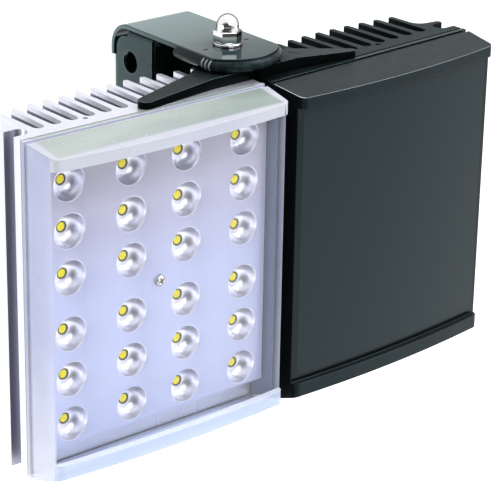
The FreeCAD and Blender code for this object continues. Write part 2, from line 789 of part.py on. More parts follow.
def gland(name, side):
    """Cable gland in the milled seat, closed by a blind cap."""
    nut_seat = S.gland_seat + S.gland_flange + S.slide_gap
    neck_end = nut_seat + S.gland_neck
    stem = new_body(name + "_gland_body")
    flats = hexagon(sketch(stem, "XZ_Plane", -S.gland_seat), S.gland_hex, 0.0, -S.gland_drop)
    pad(stem, flats, S.gland_flange, reverse=True)
    thread = polygon(sketch(stem, "XZ_Plane"), GLAND_SIDES, S.gland_thread, 0.0, -S.gland_drop)
    pad(stem, thread, neck_end, reverse=True)
    put_on_panel(stem, side)

    cap = new_body(name + "_gland_nut")
    flats = hexagon(sketch(cap, "XZ_Plane", -nut_seat), S.gland_nut_hex, 0.0, -S.gland_drop)
    pad(cap, flats, S.gland_nut_rise, reverse=True)
    inside = sketch(cap, "XZ_Plane", -nut_seat)
    polygon(inside, GLAND_SIDES, S.gland_thread + S.thread_play, 0.0, -S.gland_drop)
    pocket(cap, inside, S.gland_nut_rise - S.gland_end)
    put_on_panel(cap, side)


def arm(label, side, reach, shoulder, shoulder_front, tip, turn=0.0):
    """Arm that narrows and thins towards its tip, with a half-lap eye: silver's below, black's above."""
    body = new_body(label)
    eye = S.eye_radius
    diagonal = eye * cosine(45.0)
    tip_back = S.arm_tip_front - tip
    right_side = [
        (S.arm_split, -S.arm_front),
        (S.arm_waist, -S.arm_waist_front),
        (reach, -S.arm_tip_front),
        (reach, -tip_back, tip / 2 * 1.02),
        (shoulder, -shoulder_front),
        (diagonal, diagonal),
        (-eye, 0.0, eye),
        (S.arm_split, -root(eye * eye - S.arm_split * S.arm_split), eye),
    ]
    points = right_side
    if side > 0:
        points = [(-p[0], p[1]) + tuple(-r for r in p[2:]) for p in right_side]
    pad(body, outline(sketch(body, "XY_Plane"), points), S.arm_thick)

    rise = S.arm_thick - S.arm_tip_thick
    slope_end = reach + rise
    slope_level = S.arm_thick - rise * (slope_end - S.arm_fall) / (reach - S.arm_fall)
    fall = outline(sketch(body, "XZ_Plane"), [
        (S.arm_fall * -side, S.arm_thick),
        (slope_end * -side, slope_level),
        (slope_end * -side, S.arm_thick),
    ])
    pocket(body, fall, reach * 2, both=True)

    half = S.arm_thick / 2
    clear = eye + S.eye_play
    if side > 0:
        pocket(body, circle(sketch(body, "XY_Plane", S.arm_thick), 0.0, 0.0, clear), half)
    else:
        pocket(body, circle(sketch(body, "XY_Plane"), 0.0, 0.0, clear), half + S.slide_gap, reverse=True)
    holes = circle(sketch(body, "XY_Plane", S.arm_thick), 0.0, 0.0, S.bolt_radius + S.pivot_play)
    for x, y in arm_screw_places(side):
        polygon(holes, SMALL_SIDES, S.small_screw + S.small_play, x - hub_side * side, y - S.hub_back)
    pocket(body, holes)
    heads = sketch(body, "XY_Plane", S.arm_thick)
    for x, y in arm_screw_places(side):
        polygon(heads, SMALL_SIDES, S.small_head + S.small_play, x - hub_side * side, y - S.hub_back)
    pocket(body, heads, S.countersink)
    put_on_hub(body, turn)


def arm_screws(label, side, turn=0.0):
    """The two screws that hold an arm on its heatsink, heads flush in the arm."""
    body = new_body(label, several=True)
    top = S.arm_thick
    heads = sketch(body, "XY_Plane", top)
    shanks = sketch(body, "XY_Plane", top)
    for x, y in arm_screw_places(side):
        polygon(heads, SMALL_SIDES, S.small_head, x - hub_side * side, y - S.hub_back)
        polygon(shanks, SMALL_SIDES, S.small_screw, x - hub_side * side, y - S.hub_back)
    pad(body, heads, S.countersink, reverse=True)
    pad(body, shanks, S.arm_screw_length, reverse=True)
    put_on_hub(body, turn)


def index_dial():
    """Round-nosed block between the arms and the plate, with graduation notches at both shoulders."""
    body = new_body("index_dial")
    half, radius = S.plate_half, S.dial_radius
    shoulder = root(radius * radius - S.dial_shoulder * S.dial_shoulder)
    block = outline(sketch(body, "XY_Plane", dial_bottom), [
        (-half, S.dial_back),
        (-half, -S.dial_shoulder),
        (-shoulder, -S.dial_shoulder),
        (shoulder, -S.dial_shoulder, radius),
        (half, -S.dial_shoulder),
        (half, S.dial_back),
    ])
    pad(body, block, S.dial_thick)
    pocket(body, circle(sketch(body, "XY_Plane", plate_bottom), 0.0, 0.0, S.bolt_radius + S.bolt_hole_play))

    angle = S.notch_first
    tip = radius - S.notch_depth
    wide = S.notch_width / 2
    over = radius + S.notch_depth
    along = (cosine(angle), -sine(angle))
    across = (sine(angle), cosine(angle))
    notch = outline(sketch(body, "XY_Plane", plate_bottom), [
        (tip * along[0], tip * along[1]),
        (over * along[0] - wide * 2 * across[0], over * along[1] - wide * 2 * across[1]),
        (over * along[0] + wide * 2 * across[0], over * along[1] + wide * 2 * across[1]),
    ])
    cut = pocket(body, notch)
    ring = body.newObject("PartDesign::PolarPattern", "index_dial_ring")
    ring.Axis = (origin_item(body, "Z_Axis"), [""])
    ring.Mode = "Spacing"
    ring.Reversed = True
    bind(ring, "Offset", S.notch_step)
    ring.Occurrences = 4
    pattern(body, [cut], [ring, mirror(body, "YZ_Plane")])
    put_on_hub(body)


def top_plate():
    """Folded sheet: round nose over the dial, back edge bent down and a tongue that closes the clevis."""
    body = new_body("top_plate")
    bend_in = S.bend_radius - S.plate_thick
    bend_start = S.plate_end - S.bend_radius
    bend_level = plate_top - S.bend_radius
    inside = S.plate_end - S.plate_thick
    section = outline(sketch(body, "YZ_Plane"), [
        (-S.dial_radius, plate_top),
        (-S.dial_radius, plate_bottom),
        (bend_start, plate_bottom),
        (inside, bend_level, -bend_in),
        (inside, -S.flange_bottom),
        (S.plate_end, -S.flange_bottom),
        (S.plate_end, bend_level),
        (bend_start, plate_top, S.bend_radius),
    ])
    pad(body, section, S.plate_half * 2, both=True)
    tongue = rectangle(
        sketch(body, "XZ_Plane", -S.plate_end),
        S.clevis_thick + S.tongue_play - S.plate_half, S.plate_half - S.clevis_thick - S.tongue_play,
        -S.clevis_drop, bend_level)
    pad(body, tongue, S.plate_thick)
    side_end = -root(S.dial_radius * S.dial_radius - S.plate_half * S.plate_half)
    outside = S.plate_half + S.plate_thick
    before = -(S.dial_radius + S.plate_thick)
    nose = outline(sketch(body, "XY_Plane", plate_top), [
        (-S.plate_half, side_end),
        (S.plate_half, side_end, S.dial_radius),
        (outside, side_end),
        (outside, before),
        (-outside, before),
        (-outside, side_end),
    ])
    pocket(body, nose, S.plate_thick * 2)
    hole = circle(sketch(body, "XY_Plane", plate_top), 0.0, 0.0, S.bolt_radius + S.bolt_hole_play)
    pocket(body, hole, S.plate_thick * 2)
    put_on_hub(body)


def tilt_clevis():
    """Folded inverted U welded under the plate, with one cross bore through both cheeks."""
    body = new_body("tilt_clevis")
    outer, thick, bend = S.plate_half, S.clevis_thick, S.clevis_bend
    inner = outer - thick
    bend_in = bend - thick
    knee = plate_bottom - bend
    section = outline(sketch(body, "XZ_Plane", -S.clevis_front), [
        (-outer, -S.clevis_drop),
        (-inner, -S.clevis_drop),
        (-inner, knee),
        (bend - outer, plate_bottom - thick, -bend_in),
        (outer - bend, plate_bottom - thick),
        (inner, knee, -bend_in),
        (inner, -S.clevis_drop),
        (outer, -S.clevis_drop),
        (outer, knee),
        (outer - bend, plate_bottom, bend),
        (bend - outer, plate_bottom),
        (-outer, knee, bend),
    ])
    pad(body, section, S.clevis_back - S.clevis_front, reverse=True)

    corner = S.clevis_corner
    cheek_top = plate_bottom - S.clevis_relief
    past = corner / 4
    trim = sketch(body, "YZ_Plane")
    outline(trim, [
        (S.clevis_web, plate_bottom + past),
        (S.clevis_web, cheek_top),
        (S.clevis_back - corner, cheek_top),
        (S.clevis_back, cheek_top - corner, -corner),
        (S.clevis_back + past, cheek_top - corner),
        (S.clevis_back + past, plate_bottom + past),
    ])
    low = -S.clevis_drop
    outline(trim, [
        (S.clevis_back + past, low + corner),
        (S.clevis_back, low + corner),
        (S.clevis_back - corner, low, -corner),
        (S.clevis_back - corner, low - past),
        (S.clevis_back + past, low - past),
    ])
    outline(trim, [
        (S.clevis_front - past, low + corner),
        (S.clevis_front, low + corner),
        (S.clevis_front + corner, low, corner),
        (S.clevis_front + corner, low - past),
        (S.clevis_front - past, low - past),
    ])
    pocket(body, trim, outer * 4, both=True)
    bore = circle(sketch(body, "YZ_Plane"), S.bore_back, -hub_level, S.tilt_bore)
    pocket(body, bore, outer * 4, both=True)
    put_on_hub(body)


def hub_bolt():
    body = new_body("hub_bolt")
    under = -S.slide_gap
    head = hexagon(sketch(body, "XY_Plane", under - S.bolt_head), S.bolt_flats)
    pad(body, head, S.bolt_head)
    shank = circle(sketch(body, "XY_Plane", under), 0.0, 0.0, S.bolt_radius)
    pad(body, shank, nut_bottom + S.bolt_past - under)
    put_on_hub(body)


def hub_washer():
    body = new_body("hub_washer")
    ring = circle(sketch(body, "XY_Plane", plate_top), 0.0, 0.0, S.washer_radius)
    circle(ring, 0.0, 0.0, S.bolt_radius + S.bolt_hole_play)
    pad(body, ring, S.washer_thick)
    put_on_hub(body)


def acorn_nut():
    """Domed cap nut: hexagon, short collar and a half-round dome over a blind thread."""
    body = new_body("acorn_nut")
    pad(body, hexagon(sketch(body, "XY_Plane", nut_bottom), S.bolt_flats), S.nut_rise)
    top = nut_bottom + S.nut_height
    shoulder = nut_bottom + S.nut_rise
    points = [(0.0, shoulder), (S.dome_half, shoulder)]
    for step in range(DOME_RUNS + 1):
        angle = 90.0 / DOME_RUNS * step
        across = S.dome_half * cosine(angle) if step < DOME_RUNS else 0.0
        points.append((across, top - S.dome_half + S.dome_half * sine(angle)))
    profile = outline(sketch(body, "XZ_Plane"), points)
    dome = body.newObject("PartDesign::Revolution", "acorn_nut_dome")
    dome.Profile = profile
    dome.ReferenceAxis = (profile, ["V_Axis"])
    dome.Angle = 360.0
    doc.recompute()
    thread = circle(sketch(body, "XY_Plane", nut_bottom), 0.0, 0.0, S.bolt_radius + S.nut_bore_play)
    pocket(body, thread, S.bolt_past + S.nut_bore_play, reverse=True)
    put_on_hub(body)


def panel(name, side, fins, margin, port, cup_sides):
    """One panel without its arm."""
    heatsink(name + "_heatsink", side, fins, margin, port)
    gasket(name + "_gasket", side)
    cover(name + "_cover", side)
    led_board(name + "_led_board", side)
    leds(name + "_leds", side)
    reflector(name + "_reflector", side, cup_sides)
    pan_screws(name + "_reflector_screw", side, [(0.0, 0.0)], S.reflector_front, S.centre_screw_length)
    pan_screws(name + "_board_screws", side, board_screw_places(), S.board_thick, S.board_screw_length)
    terminal(name + "_terminal", side)
    gland(name, side)


panel("silver", 1, S.silver_fins, S.silver_margin, S.silver_port, 10)
panel("black", -1, S.black_fins, S.black_margin, S.black_port, 6)
arm("silver_arm", 1, S.silver_reach, S.silver_shoulder, S.silver_shoulder_front, S.silver_tip)
arm("black_arm", -1, S.black_reach, S.black_shoulder, S.black_shoulder_front, S.black_tip, S.black_turn)
arm_screws("silver_arm_screws", 1)
arm_screws("black_arm_screws", -1, S.black_turn)
index_dial()
top_plate()
tilt_clevis()
hub_bolt()
hub_washer()
acorn_nut()
doc.recompute()

for item in doc.Objects:
    if "Invalid" in item.State or "Error" in item.State:
        raise RuntimeError("%s is in error: %s" % (item.Name, item.State))
for node in NODES:
    shape = node.Shape
    if shape.isNull() or not shape.isValid() or not shape.Solids:
        raise RuntimeError("%s has no valid solid" % node.Label)

os.makedirs("parts", exist_ok=True)
for node in NODES:
    node.Shape.exportStep("parts/%s.step" % node.Label)
    box = node.Shape.BoundBox
    print("%-24s %2d solids %10.1f mm3  x %7.1f %7.1f  y %7.1f %7.1f  z %7.1f %7.1f" % (
        node.Label, len(node.Shape.Solids), node.Shape.Volume,
        box.XMin, box.XMax, box.YMin, box.YMax, box.ZMin, box.ZMax))
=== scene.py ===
"""Looks of the twin-panel illuminator: a white-light panel and an infrared panel on one bracket."""

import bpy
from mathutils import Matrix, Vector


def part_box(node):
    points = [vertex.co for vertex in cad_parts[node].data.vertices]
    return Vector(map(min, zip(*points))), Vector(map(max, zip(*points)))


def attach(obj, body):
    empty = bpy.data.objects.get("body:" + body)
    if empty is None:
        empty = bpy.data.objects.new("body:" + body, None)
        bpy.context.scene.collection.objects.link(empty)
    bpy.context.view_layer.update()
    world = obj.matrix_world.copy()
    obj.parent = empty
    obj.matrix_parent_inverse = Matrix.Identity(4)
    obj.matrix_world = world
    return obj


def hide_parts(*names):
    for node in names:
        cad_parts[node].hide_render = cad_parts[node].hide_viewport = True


bl_info = {
    "name": "Twin-panel illuminator",
    "version": (1, 0, 0),
    "blender": (4, 5, 0),
    "location": "View3D > Sidebar > Illuminator",
    "description": "Builds the visible pieces of the illuminator around its CAD frame",
    "category": "Object",
}

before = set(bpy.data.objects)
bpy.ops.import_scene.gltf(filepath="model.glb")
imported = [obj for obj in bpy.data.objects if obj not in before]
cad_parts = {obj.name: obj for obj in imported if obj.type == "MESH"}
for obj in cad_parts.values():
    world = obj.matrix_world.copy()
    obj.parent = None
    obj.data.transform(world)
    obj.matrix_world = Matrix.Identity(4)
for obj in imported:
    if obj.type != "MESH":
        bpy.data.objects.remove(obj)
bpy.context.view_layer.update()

import math

import bmesh
import bpy
from bpy.props import FloatProperty, FloatVectorProperty, IntProperty, PointerProperty
from mathutils import Matrix, Vector
from mathutils.bvhtree import BVHTree


# Places in the shared frame, in metres

def middle_of(node):
    """Centre of a CAD node's box."""
    low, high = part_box(node)
    return (Vector(low) + Vector(high)) / 2


MM = 0.001
HUB = middle_of("hub_bolt").xy
BOARD_LOW, BOARD_HIGH = (Vector(corner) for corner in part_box("silver_led_board"))
PANEL_SPOT = Vector(((BOARD_LOW.x + BOARD_HIGH.x) / 2, BOARD_HIGH.y, (BOARD_LOW.z + BOARD_HIGH.z) / 2))
PLATE_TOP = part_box("top_plate")[1][2]
SIDES = ((1, "silver"), (-1, "black"))
# Turns a form made towards +z to face the front, -y.
TO_FRONT = Matrix.Rotation(math.radians(90.0), 4, "X")

# Where the dial's graduation notches stand, from the hub along y.
NOTCHES = (-0.0085, -0.0115, -0.0145)
# The dial's rim: share of its height, and how far it bulges past the dial's plan.
DIAL_RIM = ((0.0, -0.0004), (0.05, 0.0006), (0.17, 0.0015), (0.36, 0.0022), (0.58, 0.0023), (0.78, 0.0018),
            (0.93, 0.0010), (1.0, 0.0003))
# Width of the painted index strokes, and their ends in plan on each node that carries them.
STROKE_WIDTH = 0.0011
STROKES = (
    ("plate_strokes", "top_plate", "bracket",
     (((-0.0166, -0.0562), (-0.0134, -0.0562)), ((0.0119, -0.0547), (0.0151, -0.0547)))),
    ("silver_arm_strokes", "silver_arm", "silver_panel",
     (((-0.0235, -0.0690), (-0.0310, -0.0725)), ((-0.0325, -0.0685), (-0.0310, -0.0725)))),
    ("black_arm_strokes", "black_arm", "black_panel", (((0.0322, -0.0663), (0.0350, -0.0722)),)),
)

# The photograph's viewpoint: its place, its turns about z, x and its own axis in degrees, and its lens.
CAMERA_SPOT = (-0.7113, -0.9246, 0.3662)
CAMERA_TURNS = ((-40.0017, "Z"), (67.6468, "X"), (1.0851, "Z"))
CAMERA_LENS, CAMERA_SENSOR = 161.866, 36.0
# Soft lamps: name, place, size and power. They all aim at the middle of the object.
LAMPS = (
    ("key", (1.35, -0.95, 1.55), 1.4, 40.0),
    ("top", (0.3, 0.1, 2.3), 2.0, 11.0),
    ("front", (-0.4, -2.4, 1.2), 1.6, 15.0),
    ("side", (-1.7, 0.1, -0.5), 1.0, 10.0),
)
LAMP_AIM = Vector((0.0, -0.06, -0.07))
# Direction from which the studio is dark to glossy surfaces.
DARK_SIDE = (-0.70, -0.60, -0.38)

# What several finishes share. The first is the stretch of a pattern along an extrusion.
DIE_LINES = (1.0, 1.0, 0.02)
ACRYLIC_IOR = 1.49
TEAL_GLOSS = (0.65, 0.93, 1.0, 1.0)
# Enamel of bevelled edges; on the arms it is a painted highlight, lighter and glossier than their enamel.
ENAMEL_EDGE = (0.02, 0.026, 0.027)
# Near-black of the painted shade in the recesses of the enamels.
RECESS_SHADE_BLACK = (0.001, 0.001, 0.001)
# Black of the smoked window's seat border, and of the painted shade on the smoked cover's side.
SEAT_AND_SHADE_BLACK = (0.002, 0.003, 0.003)


# Sizes and colours that a user would change

class IlluminatorSizes(bpy.types.PropertyGroup):
    black_turn: FloatProperty(
        name="Fan of the black panel", description="Angle between the two panels at rest",
        default=math.radians(3.1), subtype="ANGLE")
    array_x: FloatProperty(
        name="Inner column", description="Panel's middle to the inner LED columns",
        default=0.01725, unit="LENGTH")
    pitch_x: FloatProperty(
        name="Column pitch", description="Inner to outer LED column", default=0.0372, unit="LENGTH")
    array_z: FloatProperty(
        name="Inner row", description="Panel's middle to the inner LED rows", default=0.015, unit="LENGTH")
    pitch_z: FloatProperty(
        name="Row pitch", description="LED row to LED row", default=0.0246, unit="LENGTH")
    cup_mouth: FloatProperty(
        name="Cup's mouth", description="Radius of a reflector cup at the face", default=0.009, unit="LENGTH")
    cup_throat: FloatProperty(
        name="Cup's throat", description="Radius of a reflector cup round its LED",
        default=0.0031, unit="LENGTH")
    cup_rings: IntProperty(
        name="Cup rings", description="Rings of faces down a reflector cup", default=10)
    round_steps: IntProperty(
        name="Steps of a round", description="Sides of the cups, the LEDs and the nut's dome", default=40)
    dial_half: FloatProperty(
        name="Dial's half width", description="Hub to a straight side of the dial", default=0.02175,
        unit="LENGTH")
    dial_nose: FloatProperty(
        name="Dial's nose", description="Radius of the dial's round front", default=0.0265, unit="LENGTH")
    dial_back: FloatProperty(
        name="Dial's back", description="Hub to the back end of the dial", default=0.0145, unit="LENGTH")
    floor_drop: FloatProperty(
        name="Floor below", description="Floor below the hub", default=0.8, unit="LENGTH")


class IlluminatorColours(bpy.types.PropertyGroup):
    silver: FloatVectorProperty(
        name="Silver alloy", description="Anodised silver heatsink", default=(0.73, 0.74, 0.82),
        subtype="COLOR")
    black: FloatVectorProperty(
        name="Black alloy", description="Anodised black heatsink", default=(0.009, 0.017, 0.018),
        subtype="COLOR")
    enamel: FloatVectorProperty(
        name="Black enamel", description="Sprayed paint of the arms", default=(0.009, 0.016, 0.017),
        subtype="COLOR")
    smoke: FloatVectorProperty(
        name="Smoked cover", description="Infrared panel's cover", default=(0.008, 0.015, 0.017),
        subtype="COLOR")
    frost: FloatVectorProperty(
        name="Frosted cover", description="Top of the clear cover", default=(0.375, 0.43, 0.42),
        subtype="COLOR")
    phosphor: FloatVectorProperty(
        name="Phosphor", description="Yellow of the white LEDs", default=(0.85, 0.74, 0.0),
        subtype="COLOR")


def sizes():
    """The sizes that a user may change."""
    return bpy.context.scene.illuminator_sizes


def colours():
    """The colours that a user may change."""
    return bpy.context.scene.illuminator_colours


def panel_frame(side):
    """Origin and turn of a panel's frame: side 1 is the silver panel, -1 the black one."""
    if side > 0:
        return PANEL_SPOT.copy(), 0.0
    turn = sizes().black_turn
    arm = Matrix.Rotation(turn, 2) @ (Vector((-PANEL_SPOT.x, PANEL_SPOT.y)) - HUB)
    return Vector((HUB.x + arm.x, HUB.y + arm.y, PANEL_SPOT.z)), turn


def panel_matrix(side):
    """Carries a panel's own frame into the shared one."""
    origin, turn = panel_frame(side)
    return Matrix.Translation(origin) @ Matrix.Rotation(turn, 4, "Z")


# Materials

class Nodes:
    """Lays out the nodes of one tree."""

    def __init__(self, tree):
        self.tree = tree

    def add(self, kind, **values):
        """A new node with its fields set."""
        node = self.tree.nodes.new(kind)
        for field, value in values.items():
            setattr(node, field, value)
        return node

    def link(self, source, target):
        self.tree.links.new(source, target)

    def math(self, operation, first, second=0.0):
        """Works on two values, each a number or the output of a node."""
        node = self.add("ShaderNodeMath", operation=operation)
        for socket, value in zip(node.inputs, (first, second)):
            if isinstance(value, bpy.types.NodeSocket):
                self.link(value, socket)
            else:
                socket.default_value = value
        return node.outputs[0]

    def product(self, value, *factors):
        """A value times each of the factors."""
        for factor in factors:
            value = self.math("MULTIPLY", value, factor)
        return value

    def ramp(self, value, low, high, start=0.0, end=1.0):
        """Carries a value from low..high over to start..end."""
        node = self.add("ShaderNodeMapRange")
        self.link(value, node.inputs["Value"])
        for socket, number in zip(("From Min", "From Max", "To Min", "To Max"), (low, high, start, end)):
            node.inputs[socket].default_value = number
        return node.outputs["Result"]

    def seen(self):
        """1 for rays from the camera, from gloss and through glass."""
        path = self.add("ShaderNodeLightPath").outputs
        total = path["Is Camera Ray"]
        for name in ("Is Glossy Ray", "Is Transmission Ray"):
            total = self.math("MAXIMUM", total, path[name])
        return total


class Finish(Nodes):
    """One procedural material that reads Object coordinates."""

    def __init__(self, name, colour, roughness, metallic=0.0, **sockets):
        self.material = bpy.data.materials.new(name)
        self.material.use_nodes = True
        super().__init__(self.material.node_tree)
        self.shader = self.tree.nodes["Principled BSDF"]
        self.place = self.add("ShaderNodeTexCoord").outputs["Object"]
        self.colour = tuple(colour)
        self.colour_out = None
        self.roughness = roughness
        self.set("Base Color", (*colour, 1.0)).set("Roughness", roughness).set("Metallic", metallic)
        for socket, value in sockets.items():
            self.set(socket.replace("_", " "), value)

    def set(self, socket, value):
        """Sets a socket of the shader that is the same all over the surface."""
        self.shader.inputs[socket].default_value = value
        return self

    def axes(self):
        """The X, Y and Z of the pattern's place."""
        node = self.add("ShaderNodeSeparateXYZ")
        self.link(self.place, node.inputs[0])
        return node.outputs

    def panel_place(self, side):
        """Moves the pattern into a panel's own frame: across, front to back, up."""
        origin, turn = panel_frame(side)
        node = self.add("ShaderNodeMapping", vector_type="TEXTURE")
        node.inputs["Location"].default_value = origin
        node.inputs["Rotation"].default_value = (0.0, 0.0, turn)
        self.link(self.place, node.inputs["Vector"])
        self.place = node.outputs["Vector"]
        return self

    def noise(self, scale, stretch=(1.0, 1.0, 1.0), detail=4.0):
        """Soft cloudy pattern, about 0.5 in the middle."""
        mapping = self.add("ShaderNodeMapping")
        mapping.inputs["Scale"].default_value = stretch
        self.link(self.place, mapping.inputs["Vector"])
        node = self.add("ShaderNodeTexNoise")
        node.inputs["Scale"].default_value = scale
        node.inputs["Detail"].default_value = detail
        self.link(mapping.outputs["Vector"], node.inputs["Vector"])
        return node.outputs["Fac"]

    def tint(self, factor, colour):
        """Mixes another colour over the base by a factor from 0 to 1."""
        node = self.add("ShaderNodeMix", data_type="RGBA")
        first, second = node.inputs[6], node.inputs[7]
        if self.colour_out is None:
            first.default_value = (*self.colour, 1.0)
        else:
            self.link(self.colour_out, first)
        second.default_value = (*colour, 1.0)
        self.link(factor, node.inputs[0])
        self.colour_out = node.outputs[2]
        self.link(self.colour_out, self.shader.inputs["Base Color"])
        return self

    def mottle(self, scale, amount, stretch=(1.0, 1.0, 1.0)):
        """Light and dark patches of the base colour."""
        value = self.ramp(self.noise(scale, stretch), 0.3, 0.7)
        return self.tint(value, [min(1.0, part * (1.0 + amount)) for part in self.colour])

    def rough(self, scale, spread, stretch=(1.0, 1.0, 1.0)):
        """Duller and glossier patches."""
        least, most = max(0.02, self.roughness - spread), self.roughness + spread
        value = self.ramp(self.noise(scale, stretch), 0.3, 0.7, least, most)
        self.link(value, self.shader.inputs["Roughness"])
        return self

    def relief(self, scale, depth, stretch=(1.0, 1.0, 1.0), strength=0.4):
        """Bump of the given depth in metres."""
        node = self.add("ShaderNodeBump")
        node.inputs["Strength"].default_value = strength
        node.inputs["Distance"].default_value = depth
        self.link(self.noise(scale, stretch, 6.0), node.inputs["Height"])
        self.link(node.outputs["Normal"], self.shader.inputs["Normal"])
        return self

    def shade_recesses(self, reach, colour, where=None):
        """Paints shade, found by ambient occlusion, over what lies deep between neighbouring walls."""
        node = self.add("ShaderNodeAmbientOcclusion", samples=8)
        node.inputs["Distance"].default_value = reach
        shade = self.ramp(node.outputs["AO"], 0.95, 0.65, 0.0, 0.97)
        if where is not None:
            shade = self.product(shade, where)
        return self.tint(shade, colour)

    def clear(self, face_on, edge_on, blend=0.35):
        """See-through head-on and denser where the surface is seen at a low angle."""
        weight = self.add("ShaderNodeLayerWeight")
        weight.inputs["Blend"].default_value = blend
        value = self.ramp(weight.outputs["Facing"], 0.0, 1.0, face_on, edge_on)
        self.link(value, self.shader.inputs["Alpha"])
        return self


def teal(finish, level):
    """Cool and weak reflections of the black finishes."""
    return finish.set("Specular IOR Level", level).set("Specular Tint", TEAL_GLOSS)


def silver_alloy():
    """Anodised extrusion with fine die lines, with painted shade in its side channel and down its slots."""
    finish = Finish("silver_anodised", colours().silver, 0.34, 0.75)
    finish.mottle(260.0, 0.10, DIE_LINES).rough(900.0, 0.07, DIE_LINES)
    low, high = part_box("silver_heatsink")
    left, top, seal = low[0], high[2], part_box("silver_gasket")[1][1]
    axes = finish.axes()
    # Painted shade: where the side channel lies, and a band down the slots below their tops, darkened by
    # ambient occlusion.
    channel = finish.product(
        finish.ramp(axes["X"], left + 0.009, left + 0.008, 0.0, 0.72),
        finish.ramp(axes["Y"], seal + 0.0005, seal + 0.001))
    slots = finish.product(
        finish.ramp(axes["Z"], top - 0.0022, top - 0.0028),
        finish.ramp(axes["Z"], top - 0.020, top - 0.012),
        finish.ramp(axes["X"], left + 0.011, left + 0.012))
    finish.shade_recesses(0.016, (0.045, 0.048, 0.11), finish.math("MAXIMUM", channel, slots))
    return finish.relief(1400.0, 0.0001, DIE_LINES, 0.2).material


def black_alloy():
    """Black anodised extrusion with fine die lines and painted shade in its recesses."""
    finish = teal(Finish("black_anodised", colours().black, 0.42), 0.05)
    finish.mottle(240.0, 0.5, DIE_LINES).rough(800.0, 0.08, DIE_LINES)
    # Painted shade in the recesses.
    finish.shade_recesses(0.016, (0.001, 0.002, 0.002))
    return finish.relief(1400.0, 0.0001, DIE_LINES, 0.2).material


def black_enamel(name, colour, roughness, level=0.5, bump=0.00005):
    """Sprayed black paint with its fine orange peel, and painted shade in its recesses."""
    finish = teal(Finish(name, colour, roughness), level)
    finish.mottle(35.0, 0.5).rough(160.0, 0.05).shade_recesses(0.06, RECESS_SHADE_BLACK)
    return finish.relief(900.0, bump, strength=0.1).material


def plate_enamel():
    """Glossy paint of the top plate, paler and glossier towards its bend by painted reflection, with painted
    shade in its recesses.
    """
    finish = teal(Finish("plate_enamel", (0.022, 0.045, 0.048), 0.06), 0.35)
    back = finish.axes()["Y"]
    # Painted reflection: paler towards the back.
    finish.tint(finish.ramp(back, HUB.y - 0.01, HUB.y + 0.07), (0.13, 0.20, 0.20))
    finish.shade_recesses(0.06, RECESS_SHADE_BLACK)
    # Painted reflection: stronger gloss towards the back.
    level = finish.ramp(back, HUB.y - 0.027, HUB.y + 0.02, 0.10, 0.38)
    finish.link(level, finish.shader.inputs["Specular IOR Level"])
    return finish.rough(160.0, 0.01).material


def dial_enamel():
    """Rough cast paint of the index dial, greyer in patches towards the front of its nose."""
    finish = teal(Finish("dial_enamel", (0.006, 0.011, 0.012), 0.3), 0.12)
    pale_accent = finish.ramp(finish.axes()["Y"], HUB.y - 0.008, HUB.y - 0.026, 0.25, 1.0)
    patches = finish.ramp(finish.noise(260.0, (1.0, 1.0, 0.4), 8.0), 0.40, 0.70, 0.0, 0.5)
    finish.tint(finish.product(pale_accent, patches), (0.035, 0.05, 0.052))
    return finish.rough(300.0, 0.06).relief(1200.0, 0.0002, strength=0.2).material


def plated_steel(name, colour=(0.86, 0.88, 0.88), roughness=0.07):
    """Bright metal with a painted dark reflection where it is seen edge-on."""
    finish = Finish(name, colour, roughness, 1.0).mottle(220.0, 0.18)
    facing = finish.add("ShaderNodeLayerWeight").outputs["Facing"]
    # Painted reflection: the colour turns dark where the surface is seen edge-on.
    finish.tint(finish.ramp(facing, 0.42, 0.62, 0.0, 0.95), [part * 0.04 for part in colour])
    return finish.rough(700.0, 0.03).material


def plastic(name, colour, roughness, bump=0.00004):
    """Moulded plastic, rubber or ceramic."""
    finish = Finish(name, colour, roughness)
    return finish.mottle(90.0, 0.35).rough(400.0, 0.05).relief(1500.0, bump, strength=0.15).material


def clear_window():
    """Window of the clear cover, hardly seen head-on."""
    finish = Finish("clear_window", (0.93, 0.95, 1.0), 0.04, IOR=ACRYLIC_IOR)
    return finish.clear(0.0, 0.2, 0.4).rough(60.0, 0.02).material


def clear_wall(name, colour, face_on, edge_on, low=None):
    """Moulded wall of the clear cover: denser than the window, with flow lines and, where asked, a painted
    light that makes its low end paler.
    """
    finish = Finish(name, colour, 0.16, IOR=ACRYLIC_IOR).panel_place(1)
    finish.clear(face_on, edge_on, 0.4).mottle(70.0, 0.08, (0.2, 1.0, 1.0))
    # Painted light: paler towards the bottom.
    if low:
        finish.tint(finish.ramp(finish.axes()["Z"], -0.01, -0.085), low)
    return finish.rough(90.0, 0.06).material


def frosted_top():
    """Top of the clear cover: frosted, greyer towards the hub and paler along its edges."""
    finish = Finish("frosted_top", colours().frost, 0.22, IOR=ACRYLIC_IOR).panel_place(1)
    axes = finish.axes()
    finish.tint(finish.ramp(axes["X"], -0.02, 0.075), (0.17, 0.235, 0.22))
    ends = finish.ramp(finish.math("ABSOLUTE", axes["X"]), 0.0685, 0.070)
    front = finish.ramp(axes["Y"], -0.0235, -0.0255)
    finish.tint(finish.product(finish.math("MAXIMUM", ends, front), 0.8), (0.56, 0.57, 0.70))
    finish.tint(finish.ramp(finish.noise(30.0, (0.3, 1.0, 1.0)), 0.4, 0.7, 0.0, 0.3), (0.74, 0.78, 0.74))
    return finish.clear(0.97, 1.0).rough(90.0, 0.08).material


